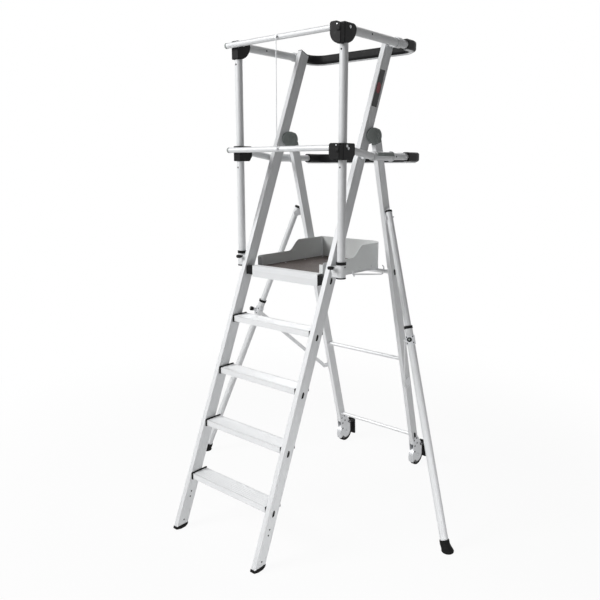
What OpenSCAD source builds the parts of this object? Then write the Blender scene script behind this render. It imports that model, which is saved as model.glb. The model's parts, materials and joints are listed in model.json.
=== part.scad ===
// Podium step: leaning ladder with four treads, a folding platform with guard rails,
// a hinged rear frame on braked wheels and two swing-out outriggers.
// Millimetres, X across the steps, Y towards the back, Z up, floor at zero.

/* [Ladder] */
// Width over the outer faces of the two ladder stiles
ladder_width = 558; // [530:1:600]
// Thickness of a ladder stile seen from the front
stile_thick = 24; // [22:1:28]
// Depth of a ladder stile
stile_depth = 62; // [58:1:66]
// Wall of every box section and nosing
section_wall = 2; // [1.6:0.1:2.6]
// Lean of the ladder from upright in degrees
ladder_lean = 22; // [21.5:0.1:22.5]
// Length of a ladder stile along its slope
stile_length = 2545; // [2530:1:2560]
// Depth of the shallow grooves in the stile faces
groove_depth = 0.8; // [0.4:0.1:1]
// Width of those grooves
groove_width = 6; // [4:0.5:8]
// Height of the rubber shoe under a ladder stile
shoe_height = 14; // [12:1:20]
// Amount by which the shoe is wider than the stile on each side
shoe_lip = 2; // [1:0.5:3]
// Length of the shoe on the floor
sole_length = 40; // [34:1:46]

/* [Treads] */
// Height of the first tread top
first_tread = 268; // [250:1:280]
// Rise from tread to tread
tread_rise = 250; // [240:1:252]
// Depth of a tread
tread_depth = 88; // [80:1:96]
// Height of a tread section
tread_height = 28; // [25:1:32]
// Thickness of the plastic cap at a tread end
cap_thick = 8; // [6:0.5:12]
// Rim of the cap around the tread section
cap_rim = 4; // [2:0.5:6]
// Length of the slot plugs in the stiles
plug_length = 30; // [24:1:34]
// Width of the slot plugs
plug_width = 10; // [8:0.5:12]

/* [Platform] */
// Height of the deck surface
deck_height = 1260; // [1250:1:1266]
// Thickness of the deck board
deck_thick = 13; // [10:1:15]
// Width over the two side toe boards
tray_width = 424; // [390:1:430]
// Length of the deck behind the nosing
tray_length = 530; // [500:1:540]
// Thickness of a toe board
toe_thick = 3; // [2:0.5:4]
// Height of the low part of the toe boards above the deck
toe_low = 55; // [45:1:65]
// Height of the tall part of the toe boards above the deck
toe_high = 111; // [95:1:120]
// Distance from the deck front to the step in the side toe boards
toe_step = 282; // [240:1:320]
// Radius of the rounded rear corner on the right
corner_radius = 90; // [60:1:110]
// Height of the nosing profile
nosing_height = 57; // [50:1:62]
// Depth of the nosing profile
nosing_depth = 40; // [36:1:44]
// Diameter of the platform pivot pins
pivot_pin = 10; // [8:0.5:12]
// Distance of the platform pivot below the deck surface
pivot_below = 20; // [18:0.5:22]
// Distance of the frame rails inside the tray edge
frame_inset = 60; // [54:1:66]
// Width of the folded front ends of the side toe boards
toe_tab = 22; // [18:1:30]
// Height of the frame rails under the deck
frame_height = 22; // [20:1:24]

/* [Rear frame] */
// Height of the main hinge
hinge_height = 1902; // [1890:1:1914]
// Distance of the main hinge behind the ladder stile
hinge_back = 35; // [33:0.5:38]
// Diameter of the main hinge pins
hinge_pin = 16; // [14:0.5:18]
// Radius of the hinge cheeks round the pin
cheek_radius = 38; // [36:0.5:40]
// Thickness of a hinge cheek
cheek_thick = 12; // [10:0.5:14]
// Distance of the main hinge pin behind the front face of the rear stile
pin_in = 9.6; // [8:0.1:11]
// Lean of the rear frame from upright in degrees
rear_lean = 15.4; // [15:0.1:15.8]
// Thickness of a rear stile seen from behind
rear_thick = 23; // [21:0.5:23.2]
// Depth of a rear stile
rear_depth = 56; // [52:1:60]
// Height along the slope where a rear stile starts
rear_start = 150; // [146:1:160]
// Diameter of the cross tubes
cross_tube = 22; // [20:0.5:24]
// Height along the slope of the upper cross tube
upper_tube_at = 719; // [700:1:740]
// Height along the slope of the lower cross tube
lower_tube_at = 203; // [200:1:240]

/* [Wheels] */
// Diameter over the tyre
wheel_diameter = 124; // [116:1:128]
// Width of the tyre
tyre_width = 20; // [18:0.5:20.5]
// Height of the tyre section
tyre_height = 12; // [9:0.5:14]
// Diameter of the wheel axle
axle_diameter = 12; // [10:0.5:14]
// Thickness of the fork plates
fork_plate = 3; // [2.5:0.1:4]
// Radius of the fork plates round the axle
fork_radius = 47; // [44:1:50]
// Thickness of the guard in front of the wheel
guard_thick = 2.5; // [2:0.1:3]
// Thickness of the brake pedal arms
pedal_thick = 4; // [3:0.5:5]

/* [Guard rails] */
// Diameter of the guard posts and top rails
post_diameter = 38; // [36:0.5:40]
// Wall of the guard rail tubes
tube_wall = 2; // [1.6:0.1:2.4]
// Distance of the post axis from the ladder stile
post_out = 42; // [41:0.5:46]
// Height of the top rail axis above the deck
guard_height = 1073; // [1060:1:1080]
// Height of the middle rail axis above the deck
mid_height = 546; // [535:1:552]
// Diameter of the middle rails
mid_diameter = 33; // [31:0.5:34]
// Rise of the middle rail towards the post
mid_rise = 23; // [20:0.5:26]
// Length of a sleeve on the middle rail
sleeve_length = 150; // [120:1:165]
// Thickness of the black back rails
band_thick = 42; // [41:0.5:46]
// Height of the black back rails
band_height = 47; // [45:0.5:52]
// Corner radius of the back rails at their middle line
band_radius = 75; // [65:1:85]
// Distance of the top back rail behind its clamp on the ladder
top_reach = 170; // [160:1:180]
// Length of the sides of the top back rail
top_band_length = 121; // [114:1:130]
// Distance of the middle back rail behind the rail sleeves
mid_reach = 280.5; // [270:0.5:290]
// Length of the sides of the middle back rail
mid_band_length = 148; // [140:1:156]
// Length of the clamp that holds a top rail to the ladder
clamp_length = 34; // [30:1:40]
// Width of the corner fittings on the posts
fitting_width = 46; // [44:0.5:50]
// Reach of the corner fittings in front of the post axis
fitting_front = 26; // [25:0.5:28]
// Reach of the corner fittings behind the post axis
fitting_reach = 63; // [60:1:66]
// Rise of the top fittings above the rail axis
fitting_rise = 22; // [21:0.5:24]
// Drop of the top fittings below the rail axis
fitting_drop = 63; // [58:1:66]
// Radius of the rounded underside of the top fittings
fitting_round = 100; // [95:1:104]
// Rise of the middle fittings above the rail axis
mid_fitting_rise = 30; // [28:0.5:32]
// Drop of the middle fittings below the rail axis
mid_fitting_drop = 44; // [40:1:46]
// Length of the sockets at the feet of the posts
socket_length = 64; // [58:1:70]
// Height of the plate that holds a socket to the ladder
socket_plate = 50; // [44:1:54]
// Width of that plate
socket_plate_width = 46; // [42:1:50]

/* [Gate] */
// Diameter of the gate bars
bar_diameter = 26; // [24:0.5:28]
// Overhang of the gate bars past the left post axis
bar_over = 43; // [36:1:50]
// Reach of the gate knuckles from the gate pivot
knuckle_radius = 48; // [44:1:50]
// Radius of the rounded lower corner of the top knuckle
knuckle_round = 50; // [44:1:52]
// Drop of the top knuckle below the bar axis
knuckle_drop = 69; // [64:1:72]
// Drop of the middle knuckle below the bar axis
mid_knuckle_drop = 53; // [48:1:56]
// Distance of the bar axis above the gate pivot
pivot_drop = 12; // [10:0.5:14]
// Diameter of the gate pivot studs
gate_pin = 12; // [10:0.5:13]
// Diameter of the rod that links the two bars
link_rod = 4; // [3:0.5:5]
// Distance of the link rod left of the middle
link_at = 18; // [0:1:40]

/* [Outriggers] */
// Distance along the rear stile from the main hinge down to the outrigger pivot
outrigger_at = 405.2; // [396:0.2:414]
// Distance of the outrigger pivot outside the rear stile
outrigger_out = 31.5; // [31:0.5:34]
// Turn of the swing axis towards the back in degrees
swing_turn = 39; // [38:0.5:40]
// Swing from the folded to the standing place in degrees
swing_angle = 31.15; // [30.5:0.05:31.5]
// Diameter of the upper arm tube
arm_diameter = 32; // [30:0.5:32.5]
// Diameter of the lower leg tube
leg_diameter = 38; // [37.5:0.5:40]
// Distance from the pivot to the leg clamp
clamp_at = 620; // [610:1:630]
// Distance from the pivot down to the brace lug
lug_drop = 990; // [980:1:1000]
// Width of the brace bar
brace_width = 20; // [16:1:24]
// Thickness of the brace bar
brace_thick = 5; // [4:0.5:5.5]
// Diameter of the outrigger pins
leg_pin = 8; // [6:0.5:9]
// Diameter of the rubber foot
foot_diameter = 48; // [44:1:52]
// Diameter of the pull knobs
knob_diameter = 25; // [22:0.5:28]

/* [Clearances] */
// Radial running clearance of every turning pin
running = 0.05; // [0.03:0.01:0.08]
// Radial clearance of tubes pushed into fittings
push_fit = 0.2; // [0.1:0.05:0.3]
// Gap between pieces that move past each other
gap = 0.5; // [0.4:0.05:0.7]

// Sub-part to draw, or all of them

/* [Hidden] */
$fn = 48;

// Ladder
outer_x = ladder_width / 2;
inner_x = outer_x - stile_thick;
stile_mid_x = outer_x - stile_thick / 2;
function front_y(z) = z * tan(ladder_lean);
function back_y(z) = front_y(z) + stile_depth / cos(ladder_lean);
function mid_y(z) = (front_y(z) + back_y(z)) / 2;
function tread_top(i) = first_tread + tread_rise * i;
function plug_z(i) = i < 4 ? tread_top(i) - tread_height : deck_height - pivot_below;
function along_ladder(z) = mid_y(z) * sin(ladder_lean) + z * cos(ladder_lean);

// Main hinge, taken from the back face of the ladder
hinge_y = front_y(hinge_height) + (stile_depth + hinge_back) / cos(ladder_lean);
hinge_along = hinge_y * sin(ladder_lean) + hinge_height * cos(ladder_lean);
cheek_front = stile_depth / (2 * cos(ladder_lean));
rear_hinge_along = (hinge_height - pin_in * sin(rear_lean)) / cos(rear_lean);
rear_base_y = hinge_y - pin_in * cos(rear_lean) + rear_hinge_along * sin(rear_lean);
rear_top = rear_hinge_along - cheek_radius - 2;
rear_outer_x = stile_mid_x + rear_thick / 2;
rear_inner_x = stile_mid_x - rear_thick / 2;
hub_radius = hinge_back - gap;

// Platform
pivot_z = plug_z(4);
pivot_y = mid_y(pivot_z);
nosing_front = pivot_y - 19;
nosing_top = deck_height + 7;
deck_front = nosing_front + nosing_depth + 1;
deck_back = deck_front + tray_length;
tray_x = tray_width / 2;
tray_bottom = deck_height - deck_thick;
frame_bottom = tray_bottom - frame_height;
bearing_back = deck_front - 1;
support_z = frame_bottom - gap - cross_tube / 2;
support_at = (support_z - rear_depth / 2 * sin(rear_lean)) / cos(rear_lean);

// Guard rails
post_x = outer_x + post_out;
socket_low = deck_height - 6;
socket_high = socket_low + socket_length;
post_y = mid_y((socket_low + socket_high) / 2);
rail_z = deck_height + guard_height;
mid_z = deck_height + mid_height;
mid_front_z = mid_z + mid_rise;
bend_y = back_y(mid_z) - 17;
mid_front_y = post_y + 67;
mid_slope = atan(mid_rise / (bend_y - mid_front_y));
sleeve_y = bend_y + 21;
top_end = mid_y(rail_z) + clamp_length / 2 + top_reach;
top_band_y = top_end - top_band_length;
mid_end = sleeve_y + sleeve_length + mid_reach;
mid_band_y = mid_end - mid_band_length;

// Gate
bar_y = post_y - fitting_front - 2 - bar_diameter / 2;
gate_x = post_x + 12;
gate_top_z = rail_z;
gate_mid_z = mid_front_z + 9.5;
bar_right = gate_x - gate_pin / 2 - 10;
knuckle_front = bar_y - bar_diameter / 2 - 2.5;
knuckle_back = post_y - fitting_front - gap;
link_y = bar_y - bar_diameter / 2 - 5;

// Wheels
wheel_r = wheel_diameter / 2;
wheel_depth = rear_depth / 2 + 10;
wheel_along = (wheel_r - wheel_depth * sin(rear_lean)) / cos(rear_lean);
wheel_y = rear_base_y + wheel_depth * cos(rear_lean) - wheel_along * sin(rear_lean);
pedal_y = wheel_y + 27;
pedal_z = wheel_r + 60;
pedal_back = wheel_y + wheel_r + 30;
pedal_depth = (pedal_y - rear_base_y) * cos(rear_lean) + pedal_z * sin(rear_lean);
pedal_along = pedal_z * cos(rear_lean) - (pedal_y - rear_base_y) * sin(rear_lean);
fork_out = rear_outer_x + fork_plate;
fork_in = rear_inner_x - fork_plate;

// Outriggers
pivot_x = rear_outer_x + outrigger_out;
pivot_depth = -2;
arm_at = rear_hinge_along - outrigger_at;
foot_z = rear_lift(pivot_depth, arm_at);
function rear_lift(d, a) = d * sin(rear_lean) + a * cos(rear_lean);
leg_drop = cos(rear_lean) * cos(swing_angle) + sin(rear_lean) * cos(swing_turn) * sin(swing_angle);
floor_at = foot_z / leg_drop;
leg_top = clamp_at - 72;
brace_rise = lug_drop - clamp_at * cos(swing_angle);
brace_side = clamp_at * sin(swing_angle);
brace_length = sqrt(brace_rise * brace_rise + brace_side * brace_side);
brace_turn = atan2(brace_side, brace_rise);
brace_in = leg_diameter / 2 + 6.5;
leg_bore = arm_diameter + 2 * gap;
knob_turn = -100;

// The part is centred on its overall depth
y_min = front_y(shoe_height) - shoe_lip;
y_max = pedal_back;

module place() {
  translate([0, -(y_min + y_max) / 2, 0]) children();
}

module both() {
  children();
  mirror([1, 0, 0]) children();
}

module side(s) {
  if (s > 0) {
    children();
  } else {
    mirror([1, 0, 0]) children();
  }
}

module on_ladder() {
  rotate([-ladder_lean, 0, 0]) children();
}

module on_rear() {
  translate([0, rear_base_y, 0]) rotate([rear_lean, 0, 0]) children();
}

module on_arm() {
  on_rear() translate([pivot_x, pivot_depth, arm_at]) rotate([0, 0, swing_turn])
    rotate([-swing_angle, 0, 0]) children();
}

module on_lug() {
  on_rear() translate([pivot_x, pivot_depth, arm_at - lug_drop]) rotate([0, 0, swing_turn])
    children();
}

// Profile drawn in the Y-Z plane and pushed along X
module yz(x0, t) {
  translate([x0, 0, 0]) rotate([90, 0, 90]) linear_extrude(t) children();
}

module along_y(y0, y1, d) {
  translate([0, y0, 0]) rotate([-90, 0, 0]) cylinder(d = d, h = y1 - y0);
}

module along_x(x0, x1, d) {
  translate([x0, 0, 0]) rotate([0, 90, 0]) cylinder(d = d, h = x1 - x0);
}

module floor_cut(z) {
  translate([-2000, -2000, z - 400]) cube([4000, 4000, 400]);
}

module rounded(w, h, r) {
  square([w - 2 * r, h], center = true);
  square([w, h - 2 * r], center = true);
  for (sx = [-1, 1]) {
    for (sy = [-1, 1]) {
      translate([sx * (w / 2 - r), sy * (h / 2 - r)]) circle(r = r);
    }
  }
}

module ladder_stile() {
  w = section_wall;
  difference() {
    on_ladder() difference() {
      translate([inner_x, 0, 0]) cube([stile_thick, stile_depth, stile_length]);
      translate([inner_x + w, w, -1]) cube([stile_thick - 2 * w, stile_depth - 2 * w, stile_length + 2]);
      for (d = [stile_depth * 0.2, stile_depth * 0.8]) {
        translate([outer_x - groove_depth, d - groove_width / 2, -1])
          cube([groove_depth + 1, groove_width, stile_length + 2]);
        translate([inner_x - 1, d - groove_width / 2, -1])
          cube([groove_depth + 1, groove_width, stile_length + 2]);
      }
      for (i = [0 : 4]) {
        translate([outer_x - w - 1, stile_depth / 2 - plug_width / 2 - 0.1,
          along_ladder(plug_z(i)) - plug_length / 2 - 0.1])
          cube([w + 2, plug_width + 0.2, plug_length + 0.2]);
      }
    }
    floor_cut(shoe_height);
    translate([0, pivot_y, pivot_z]) along_x(inner_x - 1, inner_x + w + 1, pivot_pin + 2 * running);
  }
}

module ladder_stile_left() {
  color([0.78, 0.79, 0.8]) side(-1) ladder_stile();
}

module ladder_stile_right() {
  color([0.78, 0.79, 0.8]) side(1) ladder_stile();
}

module tread(i) {
  half = inner_x - cap_thick;
  w = section_wall;
  y0 = front_y(tread_top(i)) + cap_rim;
  z0 = tread_top(i) - tread_height;
  bay = (tread_depth - 4 * w) / 3;
  color([0.82, 0.82, 0.83]) yz(-half, 2 * half) difference() {
    translate([y0, z0]) square([tread_depth, tread_height]);
    for (k = [0 : 2]) {
      translate([y0 + w + k * (bay + w), z0 + w]) square([bay, tread_height - 2 * w]);
    }
    for (k = [0 : 6]) {
      translate([y0 + 7 + k * (tread_depth - 18) / 6, z0 + tread_height - 0.8]) square([4, 1]);
    }
  }
}

module tread_1() {
  tread(0);
}

module tread_2() {
  tread(1);
}

module tread_3() {
  tread(2);
}

module tread_4() {
  tread(3);
}

module tread_end_caps() {
  color([0.05, 0.05, 0.05]) both() for (i = [0 : 3]) {
    translate([0, front_y(tread_top(i)), tread_top(i) - tread_height - cap_rim])
      yz(inner_x - cap_thick, cap_thick)
      square([tread_depth + 2 * cap_rim, tread_height + 2 * cap_rim]);
  }
}

module stile_plugs() {
  w = section_wall;
  color([0.04, 0.04, 0.04]) both() {
    on_ladder() {
      for (i = [0 : 4]) {
        translate([outer_x - w, stile_depth / 2 - plug_width / 2, along_ladder(plug_z(i)) - plug_length / 2])
          cube([w + 0.8, plug_width, plug_length]);
      }
      translate([inner_x, 0, stile_length]) cube([stile_thick, stile_depth, 4]);
    }
  }
}

module front_feet() {
  h = shoe_height;
  w = section_wall;
  y0 = front_y(h) - shoe_lip;
  y1 = back_y(h) + shoe_lip;
  color([0.03, 0.03, 0.03]) both() {
    yz(inner_x - shoe_lip, stile_thick + 2 * shoe_lip)
      polygon([[y0, h], [y0 + 2, h - 6], [y1 - sole_length - 2, 0], [y1 - 2, 0], [y1, h - 6], [y1, h]]);
    difference() {
      on_ladder() translate([inner_x + w + push_fit, w + push_fit, 0])
        cube([stile_thick - 2 * w - 2 * push_fit, stile_depth - 2 * w - 2 * push_fit, 60]);
      floor_cut(h);
    }
  }
}

module cheek(x0) {
  front = mid_y(hinge_height);
  difference() {
    yz(x0, cheek_thick) union() {
      translate([hinge_y, hinge_height]) circle(r = cheek_radius);
      translate([front, hinge_height]) circle(r = cheek_front);
      translate([front, hinge_height - cheek_front]) square([hinge_y - front, 2 * cheek_front]);
    }
    translate([0, hinge_y, hinge_height]) along_x(x0 - 1, x0 + cheek_thick + 1, hinge_pin + 2 * running);
  }
}

module hinge_brackets() {
  color([0.3, 0.32, 0.31]) both() {
    cheek(outer_x);
    cheek(inner_x - cheek_thick);
  }
}

module hinge_pins() {
  color([0.6, 0.6, 0.62]) both() {
    translate([0, hinge_y, hinge_height])
      along_x(inner_x - cheek_thick, outer_x + cheek_thick, hinge_pin);
    translate([0, pivot_y, pivot_z]) along_x(tray_x + 12, inner_x + section_wall, pivot_pin);
  }
}

module post_sockets() {
  od = post_diameter + 6;
  color([0.8, 0.8, 0.81]) both() difference() {
    union() {
      translate([post_x, post_y, socket_low]) cylinder(d = od, h = socket_high - socket_low);
      translate([outer_x, post_y - 1 - socket_plate_width / 2, socket_low + 8])
        cube([post_x - outer_x, socket_plate_width, socket_plate]);
    }
    translate([post_x, post_y, socket_low + 6])
      cylinder(d = post_diameter + 2 * push_fit, h = socket_length);
    translate([outer_x + 18, 0, socket_high - 11]) along_y(post_y - 30, post_y - 6, leg_pin + 2 * running);
  }
}

module socket_collars() {
  color([0.04, 0.04, 0.04]) both() translate([post_x, post_y, socket_high]) difference() {
    cylinder(d = post_diameter + 9, h = 14);
    translate([0, 0, -1]) cylinder(d = post_diameter + 2 * push_fit, h = 20);
  }
}

module guard_posts() {
  z0 = socket_low + 6;
  z1 = rail_z + 8;
  color([0.84, 0.84, 0.85]) both() translate([post_x, post_y, z0]) difference() {
    cylinder(d = post_diameter, h = z1 - z0);
    translate([0, 0, -1]) cylinder(d = post_diameter - 2 * tube_wall, h = z1 - z0 + 2);
  }
}

module top_rails() {
  y0 = post_y + post_diameter / 2 + 4;
  y1 = top_band_y + 28;
  color([0.84, 0.84, 0.85]) both() translate([post_x, 0, rail_z]) difference() {
    along_y(y0, y1, post_diameter);
    along_y(y0 - 1, y1 + 1, post_diameter - 2 * tube_wall);
  }
}

// Block on one side of the plane that halves the bend, behind it for 1 and before it for -1
module mitre(s) {
  far = 2 * post_diameter;
  translate([post_x, bend_y, mid_z]) rotate([-mid_slope / 2, 0, 0])
    translate([-far, s > 0 ? 0 : -far, -far]) cube([2 * far, far, 2 * far]);
}

// Two straight runs that meet in a mitre at the bend
module mid_path(d, extra) {
  run = (bend_y - post_y - post_diameter / 2 - 5) / cos(mid_slope) + extra;
  difference() {
    translate([post_x, bend_y, mid_z]) rotate([90 - mid_slope, 0, 0]) translate([0, 0, -d / 4])
      cylinder(d = d, h = run + d / 4);
    mitre(1);
  }
  difference() {
    translate([post_x, 0, mid_z]) along_y(bend_y - d / 4, mid_band_y + 28 + extra, d);
    mitre(-1);
  }
}

module mid_rails() {
  color([0.84, 0.84, 0.85]) both() difference() {
    mid_path(mid_diameter, 0);
    mid_path(mid_diameter - 2 * tube_wall, 2);
  }
}

module mid_rail_sleeves() {
  y0 = sleeve_y;
  d = mid_diameter + 2 * push_fit;
  color([0.82, 0.82, 0.83]) both() translate([post_x, 0, mid_z]) difference() {
    union() {
      along_y(y0, y0 + sleeve_length, d + 8);
      along_y(y0 + sleeve_length - 8, y0 + sleeve_length, d + 13);
    }
    along_y(y0 - 1, y0 + sleeve_length + 1, d);
  }
}

module rail_clamps() {
  top_y = mid_y(rail_z);
  half = clamp_length / 2;
  dt = post_diameter + 2 * push_fit;
  dm = mid_diameter + 2 * push_fit;
  color([0.8, 0.8, 0.81]) both() {
    difference() {
      union() {
        translate([post_x, 0, rail_z]) along_y(top_y - half, top_y + half, dt + 9);
        translate([outer_x, top_y - half, rail_z - 16]) cube([post_x - outer_x, clamp_length, 26]);
      }
      translate([post_x, 0, rail_z]) along_y(top_y - clamp_length, top_y + clamp_length, dt);
    }
    difference() {
      union() {
        translate([post_x, 0, mid_z]) along_y(bend_y + 2, bend_y + 20, dm + 9);
        translate([outer_x, bend_y - 34, mid_z - 12]) cube([post_x - outer_x - dm / 2 - 3, 54, 24]);
        translate([outer_x, bend_y + 2, mid_z - 12]) cube([post_x - outer_x, 18, 24]);
      }
      translate([post_x, 0, mid_z]) along_y(bend_y - 2, bend_y + 40, dm);
    }
  }
}

module top_fitting() {
  difference() {
    translate([0, post_y, rail_z]) yz(post_x - fitting_width / 2, fitting_width) intersection() {
      translate([-fitting_front, -fitting_drop])
        square([fitting_front + fitting_reach, fitting_drop + fitting_rise]);
      translate([fitting_reach - fitting_round, fitting_round - fitting_drop]) circle(r = fitting_round);
    }
    translate([post_x, post_y, rail_z - fitting_drop - 1])
      cylinder(d = post_diameter + 2 * push_fit, h = fitting_drop + 10);
    translate([post_x, 0, rail_z]) along_y(post_y + post_diameter / 2 + 3,
      post_y + fitting_reach + 1, post_diameter + 2 * push_fit);
  }
}

// Ledge behind and below a gate bar at the left post
module bar_rest(z) {
  translate([post_x - fitting_width / 2 + 3, bar_y, z - bar_diameter / 2 - gap - 5])
    cube([fitting_width - 6, post_y - fitting_front - bar_y, 5]);
}

module top_fittings() {
  color([0.04, 0.04, 0.04]) {
    top_fitting();
    translate([gate_x, 0, gate_top_z - pivot_drop])
      along_y(knuckle_front + 2, post_y - fitting_front, gate_pin);
    side(-1) {
      top_fitting();
      bar_rest(gate_top_z);
    }
  }
}

module mid_fitting() {
  h0 = -mid_fitting_drop;
  h1 = mid_fitting_rise;
  y1 = fitting_reach;
  difference() {
    translate([0, post_y, mid_front_z]) yz(post_x - fitting_width / 2, fitting_width)
      polygon([[-fitting_front, h1], [y1 - 6, h1], [y1, h1 - 6], [y1, h0 + 24], [y1 - 18, h0],
        [-fitting_front, h0]]);
    translate([post_x, post_y, mid_front_z + h0 - 1])
      cylinder(d = post_diameter + 2 * push_fit, h = h1 - h0 + 2);
    translate([post_x, bend_y, mid_z]) rotate([90 - mid_slope, 0, 0])
      cylinder(d = mid_diameter + 2 * push_fit, h = (bend_y - post_y - post_diameter / 2 - 4) / cos(mid_slope));
  }
}

module mid_fittings() {
  color([0.04, 0.04, 0.04]) {
    mid_fitting();
    translate([gate_x, 0, gate_mid_z - pivot_drop])
      along_y(knuckle_front + 2, post_y - fitting_front, gate_pin);
    side(-1) {
      mid_fitting();
      bar_rest(gate_mid_z);
    }
  }
}

// Rounded band round the back of the cage, with sockets for the rail ends
module back_band(y0, y1, z, rail, d) {
  cx = post_x - band_radius;
  cy = y1 - band_radius;
  difference() {
    translate([0, 0, z]) union() {
      both() {
        translate([post_x, cy, 0]) rotate([90, 0, 0]) linear_extrude(cy - y0)
          rounded(band_thick, band_height, 12);
        translate([cx, cy, 0]) rotate_extrude(angle = 90) translate([band_radius, 0])
          rounded(band_thick, band_height, 12);
      }
      translate([-cx, y1, 0]) rotate([90, 0, 90]) linear_extrude(2 * cx)
        rounded(band_thick, band_height, 12);
    }
    both() translate([post_x, 0, rail]) along_y(y0 - 1, y0 + 29, d + 2 * push_fit);
  }
}

module top_back_rail() {
  color([0.04, 0.04, 0.04]) back_band(top_band_y, top_end, rail_z + 3, rail_z, post_diameter);
}

module mid_back_rail() {
  color([0.04, 0.04, 0.04]) back_band(mid_band_y, mid_end, mid_z, mid_z, mid_diameter);
}

module gate_bar(z) {
  x0 = -post_x - bar_over;
  difference() {
    translate([0, bar_y, z]) along_x(x0, bar_right, bar_diameter);
    translate([0, bar_y, z]) along_x(x0 - 1, bar_right + 1, bar_diameter - 2 * tube_wall);
  }
  translate([-link_at, 0, z]) along_y(link_y - 5, bar_y - bar_diameter / 2 + 1, link_rod + 1);
}

// Plate in front of the corner fitting with one rounded lower corner
module gate_knuckle(z, rise, drop, round) {
  x0 = gate_x - knuckle_radius;
  wide = post_x + fitting_width / 2 - x0;
  color([0.05, 0.05, 0.05]) difference() {
    translate([x0, knuckle_back, z]) rotate([90, 0, 0]) linear_extrude(knuckle_back - knuckle_front)
      intersection() {
        translate([0, -drop]) square([wide, rise + drop]);
        union() {
          translate([0, round - drop]) square([wide, rise + drop]);
          translate([round, -drop]) square([wide, rise + drop]);
          translate([round, round - drop]) circle(r = round);
        }
      }
    translate([gate_x, 0, z - pivot_drop])
      along_y(knuckle_front - 1, knuckle_back + 1, gate_pin + 2 * running);
    translate([0, bar_y, z]) along_x(0, bar_right + 0.5, bar_diameter + 2 * push_fit);
  }
}

module gate_bar_top() {
  color([0.8, 0.8, 0.81]) gate_bar(gate_top_z);
}

module gate_bar_mid() {
  color([0.8, 0.8, 0.81]) gate_bar(gate_mid_z);
}

module gate_knuckle_top() {
  gate_knuckle(gate_top_z, fitting_rise, knuckle_drop, knuckle_round);
}

module gate_knuckle_mid() {
  gate_knuckle(gate_mid_z, fitting_rise - 2, mid_knuckle_drop, knuckle_round / 2);
}

module gate_link() {
  eye = link_rod + 9;
  color([0.75, 0.75, 0.76]) difference() {
    union() {
      translate([-link_at, link_y, gate_mid_z + 4]) cylinder(d = link_rod, h = gate_top_z - gate_mid_z - 8);
      translate([-link_at, 0, gate_top_z]) along_y(link_y - 2.5, link_y + 2.5, eye);
      translate([-link_at, 0, gate_mid_z]) along_y(link_y - 2.5, link_y + 2.5, eye);
    }
    translate([-link_at, 0, gate_top_z]) along_y(link_y - 9, link_y + 9, link_rod + 1 + 2 * running);
    translate([-link_at, 0, gate_mid_z]) along_y(link_y - 9, link_y + 9, link_rod + 2);
  }
}

module platform_nosing() {
  w = section_wall;
  z0 = nosing_top - nosing_height;
  color([0.86, 0.86, 0.87]) yz(-tray_x, 2 * tray_x) difference() {
    translate([nosing_front, z0]) square([nosing_depth, nosing_height]);
    translate([nosing_front + w, z0 + w]) square([nosing_depth - 2 * w, nosing_height * 0.5 - w]);
    translate([nosing_front + w, z0 + nosing_height * 0.5 + w])
      square([nosing_depth - 2 * w, nosing_height * 0.5 - 2 * w]);
    for (k = [0 : 2]) {
      translate([nosing_front - 1, nosing_top - 9 - 7 * k]) square([1.8, 3]);
    }
  }
}

module platform_bearings() {
  x0 = tray_x;
  x1 = inner_x - gap;
  color([0.04, 0.04, 0.04]) both() difference() {
    union() {
      translate([x0, nosing_front, pivot_z - 20]) cube([x1 - x0, bearing_back - nosing_front, 42]);
      translate([x0 - 15, nosing_front + section_wall + push_fit, nosing_top - nosing_height + section_wall + push_fit])
        cube([15 + 1, nosing_depth - 2 * section_wall - 2 * push_fit,
          nosing_height * 0.5 - section_wall - 2 * push_fit]);
    }
    translate([0, pivot_y, pivot_z]) along_x(x0 + 11, x1 + 1, pivot_pin + 2 * running);
  }
}

module platform_frame() {
  rail = 25;
  rail_x = tray_x - frame_inset;
  y0 = nosing_front + nosing_depth;
  y1 = deck_back - 8;
  w = section_wall;
  color([0.8, 0.8, 0.81]) {
    both() difference() {
      translate([rail_x, y0, frame_bottom]) cube([rail, y1 - y0, frame_height]);
      translate([rail_x + w, y0 - 1, frame_bottom + w]) cube([rail - 2 * w, y1 - y0 + 2, frame_height - 2 * w]);
    }
    for (y = [y0 + 4, (y0 + y1) / 2 - 15, y1 - 32]) {
      difference() {
        translate([-rail_x + push_fit, y, frame_bottom])
          cube([2 * (rail_x - push_fit), 30, frame_height]);
        translate([-rail_x - 1, y + w, frame_bottom + w])
          cube([2 * rail_x + 2, 30 - 2 * w, frame_height - 2 * w]);
      }
    }
    both() translate([rail_x + rail, (y0 + y1) / 2 - 10, tray_bottom - 3]) cube([30, 12, 3]);
    both() translate([rail_x + rail + 24, (y0 + y1) / 2 - 4, tray_bottom - 20]) cylinder(d = 5, h = 18);
    both() translate([rail_x + rail + 24, (y0 + y1) / 2 - 4, tray_bottom - 20]) rotate([-97, 0, 0])
      cylinder(d = 5, h = 200);
  }
}

module platform_deck() {
  x = tray_x - toe_thick;
  y1 = deck_back - toe_thick;
  r = corner_radius - toe_thick;
  notch = toe_thick + push_fit;
  color([0.25, 0.2, 0.17]) translate([0, 0, tray_bottom]) linear_extrude(deck_thick) union() {
    translate([-x, deck_front + notch]) square([2 * x, y1 - deck_front - notch - r]);
    translate([-x, deck_front + notch]) square([2 * x - r, y1 - deck_front - notch]);
    translate([-tray_x + toe_tab + push_fit, deck_front])
      square([2 * (tray_x - toe_tab - push_fit), notch + 1]);
    translate([x - r, y1 - r]) circle(r = r);
  }
}

module toe_profile() {
  low = deck_height + toe_low;
  high = deck_height + toe_high;
  s = deck_front + toe_step;
  polygon([[deck_front, tray_bottom], [deck_back, tray_bottom], [deck_back, high], [s + 44, high],
    [s + 30, high - 8], [s, low], [deck_front + 8, low], [deck_front, low - 8]]);
}

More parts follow.
